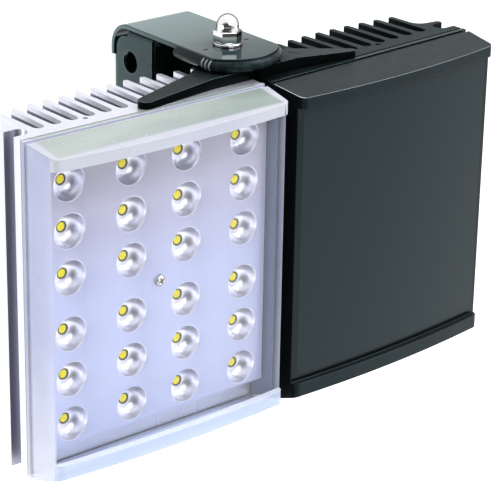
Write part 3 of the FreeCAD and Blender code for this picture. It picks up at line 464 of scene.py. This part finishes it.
def smoked_window():
    """Glossy window of the smoked cover, inside the dark border of its seat, which is wider at the left."""
    finish = teal(Finish("smoked_window", colours().smoke, 0.16), 0.2).panel_place(-1)
    axes = finish.axes()
    across = finish.math("MAXIMUM", axes["X"], finish.ramp(axes["X"], -0.0655, -0.0685, 0.0, 0.07))
    up = finish.math("ABSOLUTE", finish.math("SUBTRACT", axes["Z"], 0.0003))
    border = finish.math("MAXIMUM", finish.ramp(across, 0.0697, 0.0700), finish.ramp(up, 0.0743, 0.0746))
    finish.tint(border, SEAT_AND_SHADE_BLACK)
    return finish.rough(30.0, 0.03).relief(25.0, 0.0006, strength=0.05).material


def smoked_rim():
    """Broken edges of the smoked cover, with a painted highlight along the upper one, strongest at its left
    corner.
    """
    finish = teal(Finish("smoked_rim", (0.004, 0.006, 0.006), 0.22), 0.3).panel_place(-1)
    axes = finish.axes()
    high = finish.product(finish.ramp(axes["Z"], 0.0815, 0.0825), finish.ramp(axes["Y"], -0.006, -0.007))
    # Painted highlight along the upper edge, and whiter at its left corner.
    finish.tint(high, (0.16, 0.20, 0.205))
    corner = finish.product(finish.ramp(axes["X"], -0.0700, -0.0715), high)
    return finish.tint(corner, (0.75, 0.8, 0.8)).material


# Meshes

def moved(bm, matrix):
    """Applies a matrix to a whole bmesh."""
    bmesh.ops.transform(bm, matrix=matrix, verts=bm.verts)
    return bm


def make_piece(bm, name, materials, body, smooth_angle=32.0, replaces=()):
    """Turns a bmesh into a piece that rides on a body and stands for its nodes."""
    for edge in bm.edges:
        edge.smooth = len(edge.link_faces) == 2 and edge.calc_face_angle(0.0) < math.radians(smooth_angle)
    for face in bm.faces:
        face.smooth = True
    mesh = bpy.data.meshes.new(name)
    bm.to_mesh(mesh)
    bm.free()
    for material in materials:
        mesh.materials.append(material)
    piece = bpy.data.objects.new(name, mesh)
    bpy.context.collection.objects.link(piece)
    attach(piece, body)
    if replaces:
        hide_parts(*replaces)
    return piece


def merged_copy(node):
    """The node's solid as a bmesh with joined corners and whole flat faces."""
    bm = bmesh.new()
    bm.from_mesh(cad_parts[node].data)
    bmesh.ops.remove_doubles(bm, verts=bm.verts, dist=1e-6)
    bmesh.ops.dissolve_limit(bm, angle_limit=math.radians(0.5), verts=bm.verts, edges=bm.edges)
    return bm


def break_edges(piece, width, segments=2, angle=35.0, finish=-1):
    """Small rounding that catches the light along the edges, in the finish of its number."""
    bevel = piece.modifiers.new("edge_break", "BEVEL")
    bevel.width = width
    bevel.segments = segments
    bevel.limit_method = "ANGLE"
    bevel.angle_limit = math.radians(angle)
    bevel.harden_normals = True
    bevel.material = finish
    return piece


def dressed(node, name, materials, body, width, segments=2):
    """The node's own form with broken edges, which take the last of its materials."""
    piece = make_piece(merged_copy(node), name, materials, body, replaces=(node,))
    return break_edges(piece, width, segments, finish=len(materials) - 1)


def paint(node, material):
    """Gives a CAD node that keeps its shape its finish."""
    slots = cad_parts[node].material_slots
    if not slots:
        raise RuntimeError("%s has no material slot" % node)
    for slot in slots:
        slot.material = material


def round_piece(profile, steps):
    """A bmesh spun about z from (radius, height) points, with closed poles and faces outwards."""
    bm = bmesh.new()
    verts = [bm.verts.new((radius, 0.0, height)) for radius, height in profile]
    edges = [bm.edges.new(pair) for pair in zip(verts, verts[1:])]
    bmesh.ops.spin(
        bm, geom=verts + edges, cent=(0, 0, 0), axis=(0, 0, 1), dvec=(0, 0, 0), angle=math.tau, steps=steps,
        use_merge=True, use_normal_flip=False, use_duplicate=False)
    bmesh.ops.remove_doubles(bm, verts=bm.verts, dist=1e-7)
    bmesh.ops.recalc_face_normals(bm, faces=bm.faces)
    return bm


def joined(target, source):
    """Adds one bmesh to another through a mesh."""
    mesh = bpy.data.meshes.new("joining")
    source.to_mesh(mesh)
    source.free()
    target.from_mesh(mesh)
    bpy.data.meshes.remove(mesh)


def bevelled(bm, edges, width, segments):
    """Rounds the given edges of a bmesh."""
    bmesh.ops.bevel(
        bm, geom=edges, offset=width, offset_type="OFFSET", affect="EDGES", segments=segments, profile=0.5,
        material=-1, clamp_overlap=True)


def edges_of(made):
    """Each edge of what an operator made once, in a fixed order."""
    return list(dict.fromkeys(edge for vert in made["verts"] for edge in vert.link_edges))


def ring_of(bm, points):
    """A closed loop of edges through the points."""
    verts = [bm.verts.new(point) for point in points]
    return [bm.edges.new(pair) for pair in zip(verts, verts[1:] + verts[:1])]


def drawn(bm, edges, scale=1.0, along=(0.0, 0.0, 0.0), about=(0.0, 0.0, 0.0)):
    """Draws a loop of edges out into the next loop: scaled about a point, then moved."""
    made = bmesh.ops.extrude_edge_only(bm, edges=edges)["geom"]
    verts = [item for item in made if isinstance(item, bmesh.types.BMVert)]
    spot = Matrix.Translation(about)
    if not hasattr(scale, "__len__"):
        scale = (scale, scale, scale)
    bmesh.ops.scale(bm, vec=scale, space=spot.inverted(), verts=verts)
    bmesh.ops.translate(bm, vec=along, verts=verts)
    return [item for item in made if isinstance(item, bmesh.types.BMEdge) and item.is_boundary
            and all(vert in verts for vert in item.verts)]


def array_spots():
    """Centres of the 24 LEDs in the panel's frame."""
    made = sizes()
    across = [made.array_x, made.array_x + made.pitch_x]
    up = [made.array_z + step * made.pitch_z for step in range(3)]
    return [(side * x, top * z) for side in (-1, 1) for top in (-1, 1) for x in across for z in up]


def cup_profile():
    """Radius and depth of each ring down a cup, from the rolled rim to the throat."""
    made = sizes()
    mouth, roll, deep = made.cup_mouth, 0.0004, 0.0072
    rows = [(mouth + roll, 0.0), (mouth + 0.00015, 0.00012), (mouth, roll)]
    for step in range(1, made.cup_rings + 1):
        part = step / made.cup_rings
        radius = mouth + (made.cup_throat - mouth) * part ** 1.35
        rows.append((radius, roll + (deep - roll) * math.sin(part * math.pi / 2) ** 0.85))
    return rows


def reflector_mesh():
    """Moulded reflector: a face, 24 round cups, a skirt and a closed back."""
    bm = bmesh.new()
    low, high = (Vector(corner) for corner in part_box("silver_reflector"))
    half_x, half_z = (high.x - low.x) / 2, (high.z - low.z) / 2
    front, back = low.y - PANEL_SPOT.y, high.y - PANEL_SPOT.y
    outer = ring_of(bm, [(-half_x, front, -half_z), (half_x, front, -half_z), (half_x, front, half_z),
                         (-half_x, front, half_z)])
    profile = cup_profile()
    rings = []
    for x, z in array_spots():
        made = bmesh.ops.create_circle(
            bm, segments=sizes().round_steps, radius=profile[0][0], cap_ends=False,
            matrix=Matrix.Translation((x, front, z)) @ TO_FRONT)
        rings.append((edges_of(made), (x, z)))
    everything = outer + [edge for edges, spot in rings for edge in edges]
    bmesh.ops.triangle_fill(bm, edges=everything, use_beauty=True, normal=(0.0, -1.0, 0.0))
    throats = []
    for edges, (x, z) in rings:
        seen = set(bm.faces)
        for (wide, deep), (narrow, deeper) in zip(profile, profile[1:]):
            edges = drawn(bm, edges, narrow / wide, (0.0, deeper - deep, 0.0), (x, front + deep, z))
        for face in set(bm.faces) - seen:
            face.material_index = 1
        throats += edges
    wall = 0.0015
    skirt = drawn(bm, outer, 1.0, (0.0, back - front, 0.0))
    skirt = drawn(bm, skirt, (1 - wall / half_x, 1.0, 1 - wall / half_z))
    skirt = drawn(bm, skirt, 1.0, (0.0, profile[-1][1] + front - back, 0.0))
    bmesh.ops.triangle_fill(bm, edges=skirt + throats, use_beauty=True, normal=(0, 1, 0))
    bmesh.ops.recalc_face_normals(bm, faces=bm.faces)
    return bm


def led_mesh():
    """One LED: ceramic base, dark seating ring and lens, drawn in millimetres."""
    bm = round_piece(
        [(0.0, 0.0), (2.95, 0.0), (2.95, 0.9), (2.85, 1.1), (2.75, 2.1), (2.6, 2.3), (2.25, 2.4), (2.15, 2.5),
         (1.7, 2.62), (0.9, 2.69), (0.0, 2.7)], sizes().round_steps)
    bmesh.ops.scale(bm, vec=(MM, MM, MM), verts=bm.verts)
    seat_height, lens_height, lens_radius = 1.0 * MM, 1.2 * MM, 2.22 * MM
    for face in bm.faces:
        spot = face.calc_center_median()
        if spot.xy.length < lens_radius and spot.z > lens_height:
            face.material_index = 2
        elif spot.z > seat_height:
            face.material_index = 1
    return bm


def cross_head(radius, rise, deep, steps):
    """Pan head with a cross recess, its top towards +z."""
    bm = bmesh.new()
    half, arm = 0.17 * radius, 0.62 * radius
    flat, shoulder = 0.72, 0.92
    rim = bmesh.ops.create_circle(
        bm, segments=steps, radius=flat * radius, cap_ends=False, matrix=Matrix.Translation((0, 0, rise)))
    edges = edges_of(rim)
    corners = []
    for turn in range(4):
        spin = Matrix.Rotation(turn * math.pi / 2, 3, "Z")
        corners += [spin @ Vector((x, y, rise)) for x, y in ((arm, -half), (arm, half), (half, half))]
    recess = ring_of(bm, corners)
    bmesh.ops.triangle_fill(bm, edges=edges + recess, use_beauty=True, normal=(0, 0, 1))
    floor = drawn(bm, recess, (0.7, 0.7, 1.0), (0, 0, -deep))
    bmesh.ops.contextual_create(bm, geom=floor)
    ring = drawn(bm, edges, (shoulder / flat, shoulder / flat, 1.0), (0, 0, -0.22 * rise))
    ring = drawn(bm, ring, (1.0 / shoulder, 1.0 / shoulder, 1.0), (0, 0, -0.33 * rise))
    ring = drawn(bm, ring, 1.0, (0, 0, -0.45 * rise))
    bmesh.ops.contextual_create(bm, geom=ring)
    bmesh.ops.recalc_face_normals(bm, faces=bm.faces)
    return bm


def centre_screw_mesh():
    """Cross-headed screw with its shank."""
    bm = cross_head(radius=0.0029, rise=0.0022, deep=0.0012, steps=32)
    end, core, thread, point = -0.0159, 0.0011, 0.0015, 0.0005
    joined(bm, round_piece(
        [(0.0, end), (core, end), (thread, end + point), (thread, 0.0), (0.0, 0.0)], 24))
    return bm


def hexagon_mesh(half_flats, high, corner_drop):
    """Hexagon bar on z = 0 whose corners are turned off at both ends."""
    bm = bmesh.new()
    radius = half_flats / math.cos(math.pi / 6)
    bmesh.ops.create_cone(
        bm, cap_ends=True, cap_tris=False, segments=6, radius1=radius, radius2=radius, depth=high,
        matrix=Matrix.Translation((0, 0, high / 2)))
    level = [edge for edge in bm.edges if abs(edge.verts[0].co.z - edge.verts[1].co.z) < 1e-7]
    bevelled(bm, level, corner_drop, 2)
    return bm


def domed_nut_mesh(height):
    """M8 domed nut: a hexagon with a collar and a dome on it."""
    bm = hexagon_mesh(half_flats=0.0065, high=0.0065, corner_drop=0.0005)
    dome = [(0.0, 0.0055), (0.0062, 0.0055), (0.0063, 0.0068), (0.0060, 0.0074)]
    dome_radius, dome_foot, dome_steps = 0.006, 0.009, 10
    for step in range(dome_steps + 1):
        angle = math.radians(90.0 * step / dome_steps)
        dome.append((dome_radius * math.cos(angle), dome_foot + (height - dome_foot) * math.sin(angle)))
    joined(bm, round_piece(dome, sizes().round_steps))
    return bm


def washer_mesh(radius, thick):
    """Plain washer with its outer edges broken."""
    bore, bevel = 0.0042, 0.0003
    return round_piece(
        [(bore, 0.0), (radius - bevel, 0.0), (radius, bevel), (radius, thick - bevel),
         (radius - bevel, thick), (bore, thick), (bore, 0.0)], sizes().round_steps)


def dial_plan(out):
    """Plan of the dial about the hub: straight notched sides, a round nose and a rounded back."""
    made = sizes()
    half, nose, back = made.dial_half, made.dial_nose, made.dial_back
    cut, mouth, floor = 0.0012, 0.00055, 0.00035
    side = [(half, back + out), (half + out * 0.7, back + out * 0.7), (half + out, back)]
    for spot in NOTCHES:
        side += [(half + out, spot + mouth), (half + out - cut, spot + floor),
                 (half + out - cut, spot - floor), (half + out, spot - mouth)]
    end = math.acos(half / nose)
    steps = made.round_steps
    turns = [math.pi + end + (math.pi - 2 * end) * step / steps for step in range(steps + 1)]
    front = [((nose + out) * math.cos(turn), (nose + out) * math.sin(turn)) for turn in turns]
    return [(-x, y) for x, y in side] + front + side[::-1]


def dial_mesh():
    """Cast dial: a bulging rim that laps the plate's edge, with notches at both shoulders."""
    low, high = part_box("index_dial")
    bottom = low[2]
    tall = (high[2] + PLATE_TOP) / 2 - bottom
    rows = [(bottom + tall * part, out) for part, out in DIAL_RIM] + [(high[2], DIAL_RIM[-1][1])]
    bm = bmesh.new()
    loops = [ring_of(bm, [(HUB.x + x, HUB.y + y, height) for x, y in dial_plan(out)]) for height, out in rows]
    for lower, upper in zip(loops, loops[1:]):
        bmesh.ops.bridge_loops(bm, edges=lower + upper)
    for loop in (loops[0], loops[-1]):
        bmesh.ops.contextual_create(bm, geom=loop)
    bmesh.ops.recalc_face_normals(bm, faces=bm.faces)
    # The faces of the notches take the second material, a painted highlight.
    reach, shoulder = 0.0006, sizes().dial_half - 0.002
    for face in bm.faces:
        spot = face.calc_center_median()
        notched = any(abs(spot.y - HUB.y - notch) < reach for notch in NOTCHES)
        if notched and abs(spot.x - HUB.x) > shoulder:
            face.material_index = 1
    return bm


def stroke(bm, node, start, end, width):
    """A thin stroke of paint lying on the top of a node, between two spots in plan."""
    thick, above = 0.00006, 0.1
    form = merged_copy(node)
    tree = BVHTree.FromBMesh(form)
    form.free()
    ends = [tree.ray_cast(Vector((*spot, above)), Vector((0, 0, -1)))[0] for spot in (start, end)]
    along = ends[1] - ends[0]
    across = Vector((0, 0, 1)).cross(along).normalized()
    turn = Matrix((along.normalized(), across, along.normalized().cross(across))).transposed().to_4x4()
    made = bmesh.ops.create_cube(
        bm, size=1.0, matrix=Matrix.Translation((ends[0] + ends[1]) / 2) @ turn
        @ Matrix.Translation((0, 0, thick / 2)) @ Matrix.Diagonal((along.length, width, thick, 1.0)))
    upright = [edge for edge in edges_of(made) if edge.calc_length() < 2 * thick]
    bevelled(bm, upright, width * 0.45, 3)


def lower_tip(arm, side):
    """Carries the slope of an arm's top on to its very tip."""
    tip, under_top, lip = -0.0655, 0.0105, 0.0015
    tops = [vert.co for vert in arm.data.vertices if side * vert.co.x < tip and vert.co.z > under_top]
    level = min(spot.z for spot in tops)
    for spot in tops:
        if spot.z > level + lip:
            spot.z = level


def reach_tongue(clevis):
    """Stretches the hidden cheek back until it meets the plate's tongue."""
    cheek, stretched = 0.019, 0.008
    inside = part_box("top_plate")[1][1]
    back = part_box("tilt_clevis")[1][1]
    start = back - stretched
    for vert in clevis.data.vertices:
        if vert.co.x > cheek and vert.co.y > start:
            vert.co.y += (inside - back) * (vert.co.y - start) / (back - start)


def clear_cover():
    """The clear cover, each face coloured by where it lies."""
    window, top, sill, side, inside, rim = range(6)
    half_x, half_z, lip, mouth, right = 0.070, 0.080, 0.079, -0.015, 0.060
    bm = merged_copy("silver_cover")
    away = panel_matrix(1).inverted()
    for face in bm.faces:
        spot = away @ face.calc_center_median()
        turn = face.normal
        if abs(turn.y) > 0.9 and abs(spot.x) < half_x and abs(spot.z) < half_z and spot.y < mouth:
            face.material_index = window
        elif spot.z > lip:
            face.material_index = top
        elif spot.z < -lip:
            face.material_index = sill
        elif spot.x > right and turn.x < -0.5:
            face.material_index = inside
        else:
            face.material_index = side
    piece = make_piece(
        bm, "clear_cover",
        [clear_window(), frosted_top(),
         clear_wall("clear_sill", (0.56, 0.68, 0.92), 0.5, 0.85),
         clear_wall("clear_side", (0.58, 0.62, 0.84), 0.65, 0.85, low=(0.84, 0.88, 1.0)),
         # Painted dark: the inner right wall takes the dark of the black panel behind it.
         clear_wall("clear_side_inside", (0.06, 0.13, 0.25), 0.96, 0.98),
         # Painted highlight: the bevelled edges are whiter than the walls.
         clear_wall("clear_rim", (0.88, 0.90, 0.96), 0.5, 0.9)],
        "silver_panel", replaces=("silver_cover",))
    break_edges(piece, 0.0006, 3, 25.0, rim)


def dark_cover():
    """Smoked cover: glossy window, satin walls, and a dull side towards the silver panel darkened by painted
    shade.
    """
    window, wall, side, rim = range(4)
    half_x, bottom, top = 0.071, -0.078, 0.080
    bm = merged_copy("black_cover")
    away = panel_matrix(-1).inverted()
    for face in bm.faces:
        spot = away @ face.calc_center_median()
        turn = away.to_3x3() @ face.normal
        if turn.y < -0.9 and abs(spot.x) < half_x and bottom < spot.z < top:
            face.material_index = window
        else:
            face.material_index = side if turn.x < -0.8 else wall
    satin = teal(Finish("smoked_wall", [part * 0.7 for part in colours().smoke], 0.32), 0.15)
    satin.mottle(60.0, 0.4).rough(200.0, 0.05)
    # Painted shade: the side towards the silver panel is darker than the walls.
    dull = teal(Finish("smoked_side_shade", SEAT_AND_SHADE_BLACK, 0.4), 0.05).mottle(60.0, 0.5)
    piece = make_piece(
        bm, "dark_cover", [smoked_window(), satin.material, dull.material, smoked_rim()], "black_panel",
        replaces=("black_cover",))
    break_edges(piece, 0.0005, 3, 25.0, rim)


# Stage

def pale_floor(scene):
    """Pale floor below the object, dim towards the front left where gloss mirrors it."""
    finish = Finish("pale_floor", (0.86, 0.86, 0.86), 0.7, Emission_Color=(1.0, 1.0, 1.0, 1.0))
    finish.rough(3.0, 0.05)
    axes = finish.axes()
    glossy = finish.add("ShaderNodeLightPath").outputs["Is Glossy Ray"]
    near = finish.math("ADD", axes["Y"], axes["X"])
    dusk = finish.product(finish.ramp(near, -0.9, -2.3, 0.0, 0.85), glossy)
    finish.tint(dusk, (0.01, 0.01, 0.012))
    glow = finish.product(finish.seen(), 0.6, finish.math("SUBTRACT", 1.0, dusk))
    finish.link(glow, finish.shader.inputs["Emission Strength"])
    bm = bmesh.new()
    bmesh.ops.create_grid(
        bm, x_segments=8, y_segments=8, size=6.0, matrix=Matrix.Translation((0, 0, -sizes().floor_drop)))
    mesh = bpy.data.meshes.new("floor")
    bm.to_mesh(mesh)
    bm.free()
    mesh.materials.append(finish.material)
    floor = bpy.data.objects.new("floor", mesh)
    scene.collection.objects.link(floor)


def soft_world(scene):
    """White studio, dimmer to dull surfaces, and dark on one side to glossy ones."""
    world = bpy.data.worlds.new("soft_studio")
    world.use_nodes = True
    scene.world = world
    nodes = Nodes(world.node_tree)
    near = nodes.add("ShaderNodeVectorMath", operation="DOT_PRODUCT")
    near.inputs[1].default_value = DARK_SIDE
    nodes.link(nodes.add("ShaderNodeTexCoord").outputs["Generated"], near.inputs[0])
    shade = nodes.ramp(near.outputs["Value"], 0.40, 0.72, 1.0, 0.05)
    path = nodes.add("ShaderNodeLightPath").outputs
    white = nodes.math("MAXIMUM", nodes.math("SUBTRACT", 1.0, path["Is Glossy Ray"]), shade)
    dull = nodes.ramp(path["Is Diffuse Ray"], 0.0, 1.0, 1.0, 0.6)
    background = world.node_tree.nodes["Background"]
    background.inputs["Color"].default_value = (1.0, 1.0, 1.0, 1.0)
    nodes.link(nodes.product(white, dull), background.inputs["Strength"])


def lamp(name, spot, size, power):
    """Large soft lamp aimed at the middle of the object."""
    data = bpy.data.lights.new(name, "AREA")
    data.size = size
    data.energy = power
    obj = bpy.data.objects.new(name, data)
    obj.location = spot
    obj.rotation_euler = (LAMP_AIM - Vector(spot)).to_track_quat("-Z", "Y").to_euler()
    bpy.context.collection.objects.link(obj)


def camera():
    """The photograph's viewpoint."""
    data = bpy.data.cameras.new("photo_camera")
    data.lens = CAMERA_LENS
    data.sensor_width = CAMERA_SENSOR
    obj = bpy.data.objects.new("photo_camera", data)
    place = Matrix.Translation(CAMERA_SPOT)
    for degrees, axis in CAMERA_TURNS:
        place = place @ Matrix.Rotation(math.radians(degrees), 4, axis)
    obj.matrix_world = place
    bpy.context.collection.objects.link(obj)
    bpy.context.scene.camera = obj


# Operators

class IlluminatorPiece:
    """Options shared by the operators."""
    bl_options = {"REGISTER", "UNDO"}


class OBJECT_OT_heatsinks(IlluminatorPiece, bpy.types.Operator):
    """Both extruded heatsinks with broken edges"""
    bl_idname = "illuminator.heatsinks"
    bl_label = "Heatsinks"

    def execute(self, context):
        for name, alloy in (("silver", silver_alloy()), ("black", black_alloy())):
            dressed(name + "_heatsink", name + "_extrusion", [alloy], name + "_panel",
                    width=0.00025)
        return {"FINISHED"}


class OBJECT_OT_covers(IlluminatorPiece, bpy.types.Operator):
    """Clear cover of the white panel and smoked cover of the infrared panel"""
    bl_idname = "illuminator.covers"
    bl_label = "Covers"

    def execute(self, context):
        clear_cover()
        dark_cover()
        return {"FINISHED"}


class OBJECT_OT_reflectors(IlluminatorPiece, bpy.types.Operator):
    """Reflectors with round bright cups behind both covers"""
    bl_idname = "illuminator.reflectors"
    bl_label = "Reflectors"

    def execute(self, context):
        face = Finish("reflector_face", (0.39, 0.37, 0.465), 0.40, 0.2).panel_place(1)
        # Painted light: the face is darker and greyer towards its top, paler and bluer from its middle down.
        face.tint(face.ramp(face.axes()["Z"], 0.075, 0.0), (0.47, 0.52, 0.79))
        face.rough(200.0, 0.06).relief(900.0, 0.00003, strength=0.2)
        cup = Finish("reflector_cup", (0.74, 0.75, 0.85), 0.30, 1.0).mottle(120.0, 0.06)
        for side, name in SIDES:
            make_piece(
                moved(reflector_mesh(), panel_matrix(side)), name + "_cup_plate",
                [face.material, cup.material], name + "_panel",
                replaces=(name + "_reflector",))
        return {"FINISHED"}


class OBJECT_OT_led_arrays(IlluminatorPiece, bpy.types.Operator):
    """The 24 LEDs of each panel"""
    bl_idname = "illuminator.led_arrays"
    bl_label = "LED arrays"

    def execute(self, context):
        base = plastic("led_ceramic", (0.50, 0.51, 0.55), 0.35)
        seat = plastic("led_seat", (0.05, 0.05, 0.03), 0.4)
        yellow = colours().phosphor
        # Painted glow: the phosphor gives off a little yellow light of its own.
        glow = Finish("led_phosphor", yellow, 0.3, Specular_IOR_Level=0.1, Emission_Color=(*yellow, 1.0),
                      Emission_Strength=0.12).mottle(900.0, 0.15)
        dome = Finish("led_infrared_dome", (0.10, 0.09, 0.10), 0.12, Coat_Weight=0.6, Coat_Roughness=0.05)
        dome.mottle(900.0, 0.3)
        board_top = -0.002
        for (side, name), lens, slot in zip(SIDES, (glow, dome), ("white_leds", "infrared_leds")):
            bm = bmesh.new()
            for x, z in array_spots():
                joined(bm, moved(led_mesh(), Matrix.Translation((x, board_top, z)) @ TO_FRONT))
            make_piece(
                moved(bm, panel_matrix(side)), name + "_led_lenses", [base, seat, lens.material],
                name + "_panel", replaces=(name + "_leds",))
        return {"FINISHED"}


class OBJECT_OT_reflector_screws(IlluminatorPiece, bpy.types.Operator):
    """Centre screw of each reflector"""
    bl_idname = "illuminator.reflector_screws"
    bl_label = "Reflector screws"

    def execute(self, context):
        steel = plated_steel("bright_steel", (0.55, 0.54, 0.52), 0.22)
        spin = Matrix.Rotation(math.radians(20.0), 4, "Z")
        seated = Matrix.Translation((0.0, -0.012, 0.0)) @ TO_FRONT @ spin
        for side, name in SIDES:
            make_piece(
                moved(centre_screw_mesh(), panel_matrix(side) @ seated), name + "_centre_screw", [steel],
                name + "_panel", replaces=(name + "_reflector_screw",))
        return {"FINISHED"}


class OBJECT_OT_arms(IlluminatorPiece, bpy.types.Operator):
    """Both cast arms with rounded edges"""
    bl_idname = "illuminator.arms"
    bl_label = "Arms"

    def execute(self, context):
        enamel = black_enamel("arm_enamel", colours().enamel, 0.26, 0.03)
        # Painted highlight: the bevelled edges take a lighter, glossier copy of the arms' enamel.
        edge = black_enamel("arm_edge_highlight", ENAMEL_EDGE, 0.16)
        for side, name in SIDES:
            arm = dressed(name + "_arm", name + "_cast_arm", [enamel, edge], name + "_panel",
                          width=0.0013, segments=4)
            lower_tip(arm, side)
        return {"FINISHED"}


class OBJECT_OT_bracket(IlluminatorPiece, bpy.types.Operator):
    """Top plate, tilt clevis and index dial"""
    bl_idname = "illuminator.bracket"
    bl_label = "Bracket"

    def execute(self, context):
        plate_edge = black_enamel("plate_edge_enamel", ENAMEL_EDGE, 0.2)
        cheek = black_enamel("clevis_enamel", (0.026, 0.046, 0.047), 0.3, 0.3, bump=0.0)
        # Painted highlight: the clevis's bevelled edges, round its hole too, take a much lighter, glossier
        # copy of its enamel.
        cheek_edge_highlight = black_enamel("clevis_edge_highlight", (0.10, 0.14, 0.14), 0.2, 0.6)
        dressed("top_plate", "folded_plate", [plate_enamel(), plate_edge], "bracket",
                width=0.0004, segments=3)
        clevis = dressed("tilt_clevis", "folded_clevis", [cheek, cheek_edge_highlight], "bracket",
                         width=0.0004)
        reach_tongue(clevis)
        # Painted highlight on the faces of the dial's notches.
        pale_accent = Finish("notch_highlight", (0.50, 0.54, 0.54), 0.35, 0.4).mottle(900.0, 0.5).material
        make_piece(dial_mesh(), "notched_dial", [dial_enamel(), pale_accent], "bracket",
                   smooth_angle=40.0, replaces=("index_dial",))
        return {"FINISHED"}


class OBJECT_OT_hub_fasteners(IlluminatorPiece, bpy.types.Operator):
    """Hub bolt, washer and domed nut"""
    bl_idname = "illuminator.hub_fasteners"
    bl_label = "Hub fasteners"

    def execute(self, context):
        bright = plated_steel("bright_plating")
        nut_low, nut_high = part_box("acorn_nut")
        low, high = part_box("hub_washer")
        for name, node, bm, level in (
                ("domed_nut", "acorn_nut", domed_nut_mesh(nut_high[2] - nut_low[2]), nut_low[2]),
                ("flat_washer", "hub_washer", washer_mesh((high[0] - low[0]) / 2, high[2] - low[2]), low[2])):
            make_piece(moved(bm, Matrix.Translation((HUB.x, HUB.y, level))), name, [bright], "bracket",
                       replaces=(node,))
        dressed("hub_bolt", "hub_hexagon_bolt", [bright], "bracket", width=0.0003)
        return {"FINISHED"}


class OBJECT_OT_marks(IlluminatorPiece, bpy.types.Operator):
    """Plain index strokes beside the nut and on the arms"""
    bl_idname = "illuminator.marks"
    bl_label = "Index marks"

    def execute(self, context):
        ink = Finish("mark_ink", (0.003, 0.004, 0.004), 0.5, Specular_IOR_Level=0.05).mottle(900.0, 0.5)
        for name, node, body, strokes in STROKES:
            bm = bmesh.new()
            for start, end in strokes:
                stroke(bm, node, start, end, STROKE_WIDTH)
            make_piece(bm, name, [ink.material], body)
        return {"FINISHED"}


class OBJECT_OT_inner_parts(IlluminatorPiece, bpy.types.Operator):
    """Finishes of the seals, boards, terminals, glands and hidden screws"""
    bl_idname = "illuminator.inner_parts"
    bl_label = "Inner parts"

    def execute(self, context):
        screws = plated_steel("screw_steel", (0.5, 0.49, 0.47), 0.28)
        finishes = {
            "_gasket": plastic("seal_rubber", (0.02, 0.02, 0.02), 0.6, 0.0001),
            "_led_board": plastic("board_mask", (0.62, 0.64, 0.66), 0.4),
            "_board_screws": screws,
            "_arm_screws": screws,
            "_terminal": plastic("terminal_plastic", (0.03, 0.10, 0.05), 0.4),
        }
        gland = plastic("gland_plastic", (0.018, 0.018, 0.019), 0.42, 0.0001)
        for name in ("silver", "black"):
            for node, finish in finishes.items():
                paint(name + node, finish)
            for node in (name + "_gland_body", name + "_gland_nut"):
                dressed(node, node + "_moulding", [gland], name + "_panel", width=0.0004)
        return {"FINISHED"}


class OBJECT_OT_stage(IlluminatorPiece, bpy.types.Operator):
    """Floor, soft lamps, world and camera"""
    bl_idname = "illuminator.stage"
    bl_label = "Stage"

    def execute(self, context):
        context.scene.view_settings.view_transform = "Standard"
        pale_floor(context.scene)
        soft_world(context.scene)
        for name, spot, size, power in LAMPS:
            lamp(name, spot, size, power)
        camera()
        return {"FINISHED"}


# Panel, registration and run

OPERATORS = (
    OBJECT_OT_stage, OBJECT_OT_heatsinks, OBJECT_OT_inner_parts, OBJECT_OT_reflectors, OBJECT_OT_led_arrays,
    OBJECT_OT_reflector_screws, OBJECT_OT_covers, OBJECT_OT_arms, OBJECT_OT_bracket, OBJECT_OT_hub_fasteners,
    OBJECT_OT_marks,
)


class VIEW3D_PT_illuminator(bpy.types.Panel):
    """Lists the illuminator's sizes, colours and pieces"""
    bl_label = "Illuminator"
    bl_idname = "VIEW3D_PT_illuminator"
    bl_space_type = "VIEW_3D"
    bl_region_type = "UI"
    bl_category = "Illuminator"

    def draw(self, context):
        for group in (sizes(), colours()):
            box = self.layout.box()
            for field in group.bl_rna.properties:
                if not field.is_readonly and field.identifier != "name":
                    box.prop(group, field.identifier)
        for operator in OPERATORS:
            self.layout.operator(operator.bl_idname)


CLASSES = (IlluminatorSizes, IlluminatorColours) + OPERATORS + (VIEW3D_PT_illuminator,)


def register():
    for item in CLASSES:
        bpy.utils.register_class(item)
    bpy.types.Scene.illuminator_sizes = PointerProperty(type=IlluminatorSizes)
    bpy.types.Scene.illuminator_colours = PointerProperty(type=IlluminatorColours)


def unregister():
    del bpy.types.Scene.illuminator_colours
    del bpy.types.Scene.illuminator_sizes
    for item in reversed(CLASSES):
        bpy.utils.unregister_class(item)


def main():
    """Makes every piece in order."""
    register()
    for operator in OPERATORS:
        group, name = operator.bl_idname.split(".")
        getattr(getattr(bpy.ops, group), name)()
    bpy.context.view_layer.update()


if __name__ == "__main__":
    main()
